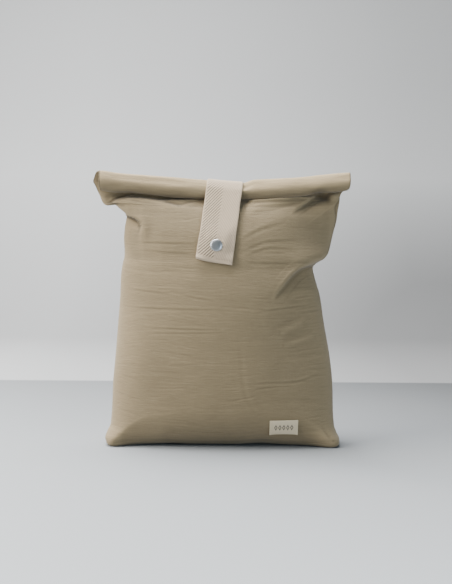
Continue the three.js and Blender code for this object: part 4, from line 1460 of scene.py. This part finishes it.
class LunchBagSettings(bpy.types.PropertyGroup):
    cloth: PointerProperty(type=ClothSettings)
    strap: PointerProperty(type=StrapSettings)
    snap: PointerProperty(type=SnapSettings)
    label: PointerProperty(type=LabelSettings)
    stage: PointerProperty(type=StageSettings)


# ---- Operators ----
class LUNCHBAG_OT_body(bpy.types.Operator):
    """Make the two cloth panels of the bag, from the base to the rolled mouth"""

    bl_idname = "lunchbag.body"
    bl_label = "Cloth body"

    def execute(self, context):
        settings = context.scene.lunch_bag.cloth
        finish = canvas_finish(settings)
        for name, node, side in (("front_cloth", "front_panel", -1), ("back_cloth", "back_panel", 1)):
            piece = dress(cloth_panel(name, side, settings), finish, node)
        return {"FINISHED"}


class LUNCHBAG_OT_strap(bpy.types.Operator):
    """Make the webbing strap with its hem and its stitches"""

    bl_idname = "lunchbag.strap"
    bl_label = "Webbing strap"

    def execute(self, context):
        settings = context.scene.lunch_bag.strap
        frames = strap_frames(settings)
        length = frames[-1]
        face, rear, place = strap_surface(frames, settings)
        webbing = add_solid("strap_webbing", rear, face, [("cloth", place)])
        strap = dress(webbing, webbing_finish(settings), "strap")
        length[-1] * MM
        finish = thread_finish("cotton_thread", settings.colour)
        hem = add_stitches("hem_stitches", *hem_stitches(face, frames, settings), *HEM_STITCH)
        dress(hem, finish, None)
        sewn_end = add_stitches("sewn_end_stitches", *sewn_end_stitches(face, frames), *SEWN_STITCH)
        dress(sewn_end, finish, None)
        return {"FINISHED"}


class LUNCHBAG_OT_snap(bpy.types.Operator):
    """Make the snap: its cap on the strap, and the socket and stud behind it"""

    bl_idname = "lunchbag.snap"
    bl_label = "Snap"

    def execute(self, context):
        bag = context.scene.lunch_bag
        centre, _, _, outward, _ = strap_frames(bag.strap)
        row = snap_row(centre)
        axis, spot = outward[row], centre[row]
        finish = snap_finish(bag.snap)
        on_strap = 0.5 * bag.strap.thickness / MM - 0.1
        behind_strap = -STRAP_PACKED / 2 - PACKED_GAP - SOCKET_DEPTH
        on_cloth = behind_strap - (PACKED_GAP + STUD_DEPTH)
        parts = (
            ("snap_dome", cap_profile(bag.snap), on_strap, "snap_cap"),
            ("snap_socket_ring", SOCKET_PROFILE, behind_strap, "snap_socket"),
            ("snap_stud_base", STUD_PROFILE, on_cloth, "snap_stud"),
        )
        for name, profile, out, node in parts:
            dress(add_turned(name, profile, spot + axis * out, axis), finish, node)
        return {"FINISHED"}


class LUNCHBAG_OT_label(bpy.types.Operator):
    """Make the woven label on the front, with its stitches"""

    bl_idname = "lunchbag.label"
    bl_label = "Label"

    def execute(self, context):
        settings = context.scene.lunch_bag.label
        outer, inner, normals, place = label_surface(settings)
        tape = add_solid("label_tape", outer, inner, [("cloth", place)])
        piece = dress(tape, label_finish(settings), "label")
        finish = thread_finish("label_thread", settings.colour)
        rows = LABEL_STITCH_ROWS
        spots = np.concatenate([outer[rows, 2], outer[rows, -3]])
        upright = np.repeat(np.array([[0, 0, 1.0]]), len(spots), 0)
        out = np.concatenate([normals[rows, 2], normals[rows, -3]])
        stitches = add_stitches("label_stitches", spots, upright, out, *LABEL_STITCH)
        dress(stitches, finish, None)
        return {"FINISHED"}


# ---- Stage ----
FLOOR_REACH = 4500.0  # how far the floor goes to each side and forward, and its wall up
WALL_FOOT = 1100.0  # how far behind the bag the floor starts to curve up
WALL_BEND = 700.0  # radius of that curve
# The lights: name, where it stands, what it looks at, its size, which power and its colour
LIGHTS = (
    ("window_light", (-1.6, -0.5, 1.1), (0, 0.1, 0.12), 1.1, "window_power", (1.0, 0.965, 0.905)),
    ("sky_light", (-0.3, 0.25, 1.55), (0, 0, 0.1), 1.0, "sky_power", (1.0, 0.99, 0.97)),
    ("room_light", (0.9, -1.1, 0.2), (0, 0, 0.15), 0.8, "room_power", (0.75, 0.88, 1.0)),
)
AMBIENT_COLOUR = (0.80, 0.96, 1.0, 1)
CAMERA_PLACE = (0.0055, -1.0487, 0.2203)
CAMERA_UP = 87.0  # degrees from looking straight down
CAMERA_ROLL = 0.4
CAMERA_LENS = 59.61
CAMERA_SHIFT = -0.00171


def floor_grid():
    """The floor as a grid: a straight profile that curves up behind the bag in a quarter circle to
    a wall, carried from side to side."""
    angle = np.linspace(-90, 0, 25)[1:] * math.pi / 180
    curve = np.stack([WALL_FOOT + WALL_BEND * np.cos(angle), WALL_BEND + WALL_BEND * np.sin(angle)], 1)
    flat = [[-FLOOR_REACH, 0], [-1500, 0], [0, 0], [WALL_FOOT, 0]]
    profile = np.concatenate([flat, curve, [[WALL_FOOT + WALL_BEND, FLOOR_REACH]]])
    wide = np.linspace(-FLOOR_REACH, FLOOR_REACH, 7)
    points = np.zeros((len(profile), len(wide), 3))
    points[..., 0] = wide[None, :]
    points[..., 1:] = profile[:, None, :]
    return points


class LUNCHBAG_OT_stage(bpy.types.Operator):
    """Make the table, the wall, the lights and the camera"""

    bl_idname = "lunchbag.stage"
    bl_label = "Stage"

    def execute(self, context):
        settings = context.scene.lunch_bag.stage
        points = floor_grid()
        index = np.arange(points.shape[0] * points.shape[1]).reshape(points.shape[:2])
        faces = np.stack([index[:-1, :-1], index[:-1, 1:], index[1:, 1:], index[1:, :-1]], -1).reshape(-1, 4)
        floor = add_mesh("floor", points.reshape(-1, 3) - PLACE, faces.tolist())
        floor.data.materials.append(stage_finish(settings))
        for name, place, target, size, power, colour in LIGHTS:
            self.add_light(name, place, target, size, getattr(settings, power), colour)
        world = bpy.data.worlds.new("studio")
        world.use_nodes = True
        ground = world.node_tree.nodes["Background"]
        ground.inputs["Color"].default_value = AMBIENT_COLOUR
        ground.inputs["Strength"].default_value = settings.ambient
        context.scene.world = world
        self.add_camera(context)
        return {"FINISHED"}

    def add_light(self, name, place, target, size, power, colour):
        """A square soft light that looks at a point."""
        data = bpy.data.lights.new(name, "AREA")
        data.size, data.energy, data.color = size, power, colour
        light = bpy.data.objects.new(name, data)
        light.location = place
        direction = light.location - Vector(target)
        light.rotation_euler = direction.to_track_quat("Z", "Y").to_euler()
        light.visible_camera = False
        bpy.context.scene.collection.objects.link(light)

    def add_camera(self, context):
        """The camera: in front of the bag, a little below the roll, looking slightly down."""
        data = bpy.data.cameras.new("camera")
        data.lens = CAMERA_LENS
        data.shift_y = CAMERA_SHIFT
        data.clip_start, data.clip_end = 0.05, 30
        camera = bpy.data.objects.new("camera", data)
        up, roll = math.radians(CAMERA_UP), math.radians(CAMERA_ROLL)
        turn = Matrix.Rotation(up, 3, "X") @ Matrix.Rotation(roll, 3, "Z")
        camera.rotation_euler = turn.to_euler()
        camera.location = CAMERA_PLACE
        context.scene.collection.objects.link(camera)
        context.scene.camera = camera


class LUNCHBAG_PT_panel(bpy.types.Panel):
    bl_idname = "LUNCHBAG_PT_panel"
    bl_label = "Lunch bag"
    bl_space_type = "VIEW_3D"
    bl_region_type = "UI"
    bl_category = "Lunch bag"

    def draw(self, context):
        """A box for each operator, with its settings."""
        settings = context.scene.lunch_bag
        for operator, group in OPERATORS:
            box = self.layout.box()
            box.operator(operator.bl_idname)
            for name in getattr(settings, group).bl_rna.properties.keys():
                if name not in ("rna_type", "name"):
                    box.prop(getattr(settings, group), name)


OPERATORS = (
    (LUNCHBAG_OT_stage, "stage"),
    (LUNCHBAG_OT_body, "cloth"),
    (LUNCHBAG_OT_strap, "strap"),
    (LUNCHBAG_OT_snap, "snap"),
    (LUNCHBAG_OT_label, "label"),
)
CLASSES = (
    ClothSettings, StrapSettings, SnapSettings, LabelSettings, StageSettings, LunchBagSettings,
    *(operator for operator, _ in OPERATORS), LUNCHBAG_PT_panel,
)


def register():
    """Makes the classes and the settings known to Blender."""
    for kind in CLASSES:
        bpy.utils.register_class(kind)
    bpy.types.Scene.lunch_bag = PointerProperty(type=LunchBagSettings)


def unregister():
    """Takes them away again."""
    del bpy.types.Scene.lunch_bag
    for kind in reversed(CLASSES):
        bpy.utils.unregister_class(kind)


def main():
    """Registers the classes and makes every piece."""
    register()
    bpy.ops.lunchbag.stage()
    bpy.ops.lunchbag.body()
    bpy.ops.lunchbag.strap()
    bpy.ops.lunchbag.snap()
    bpy.ops.lunchbag.label()


if __name__ == "__main__":
    main()
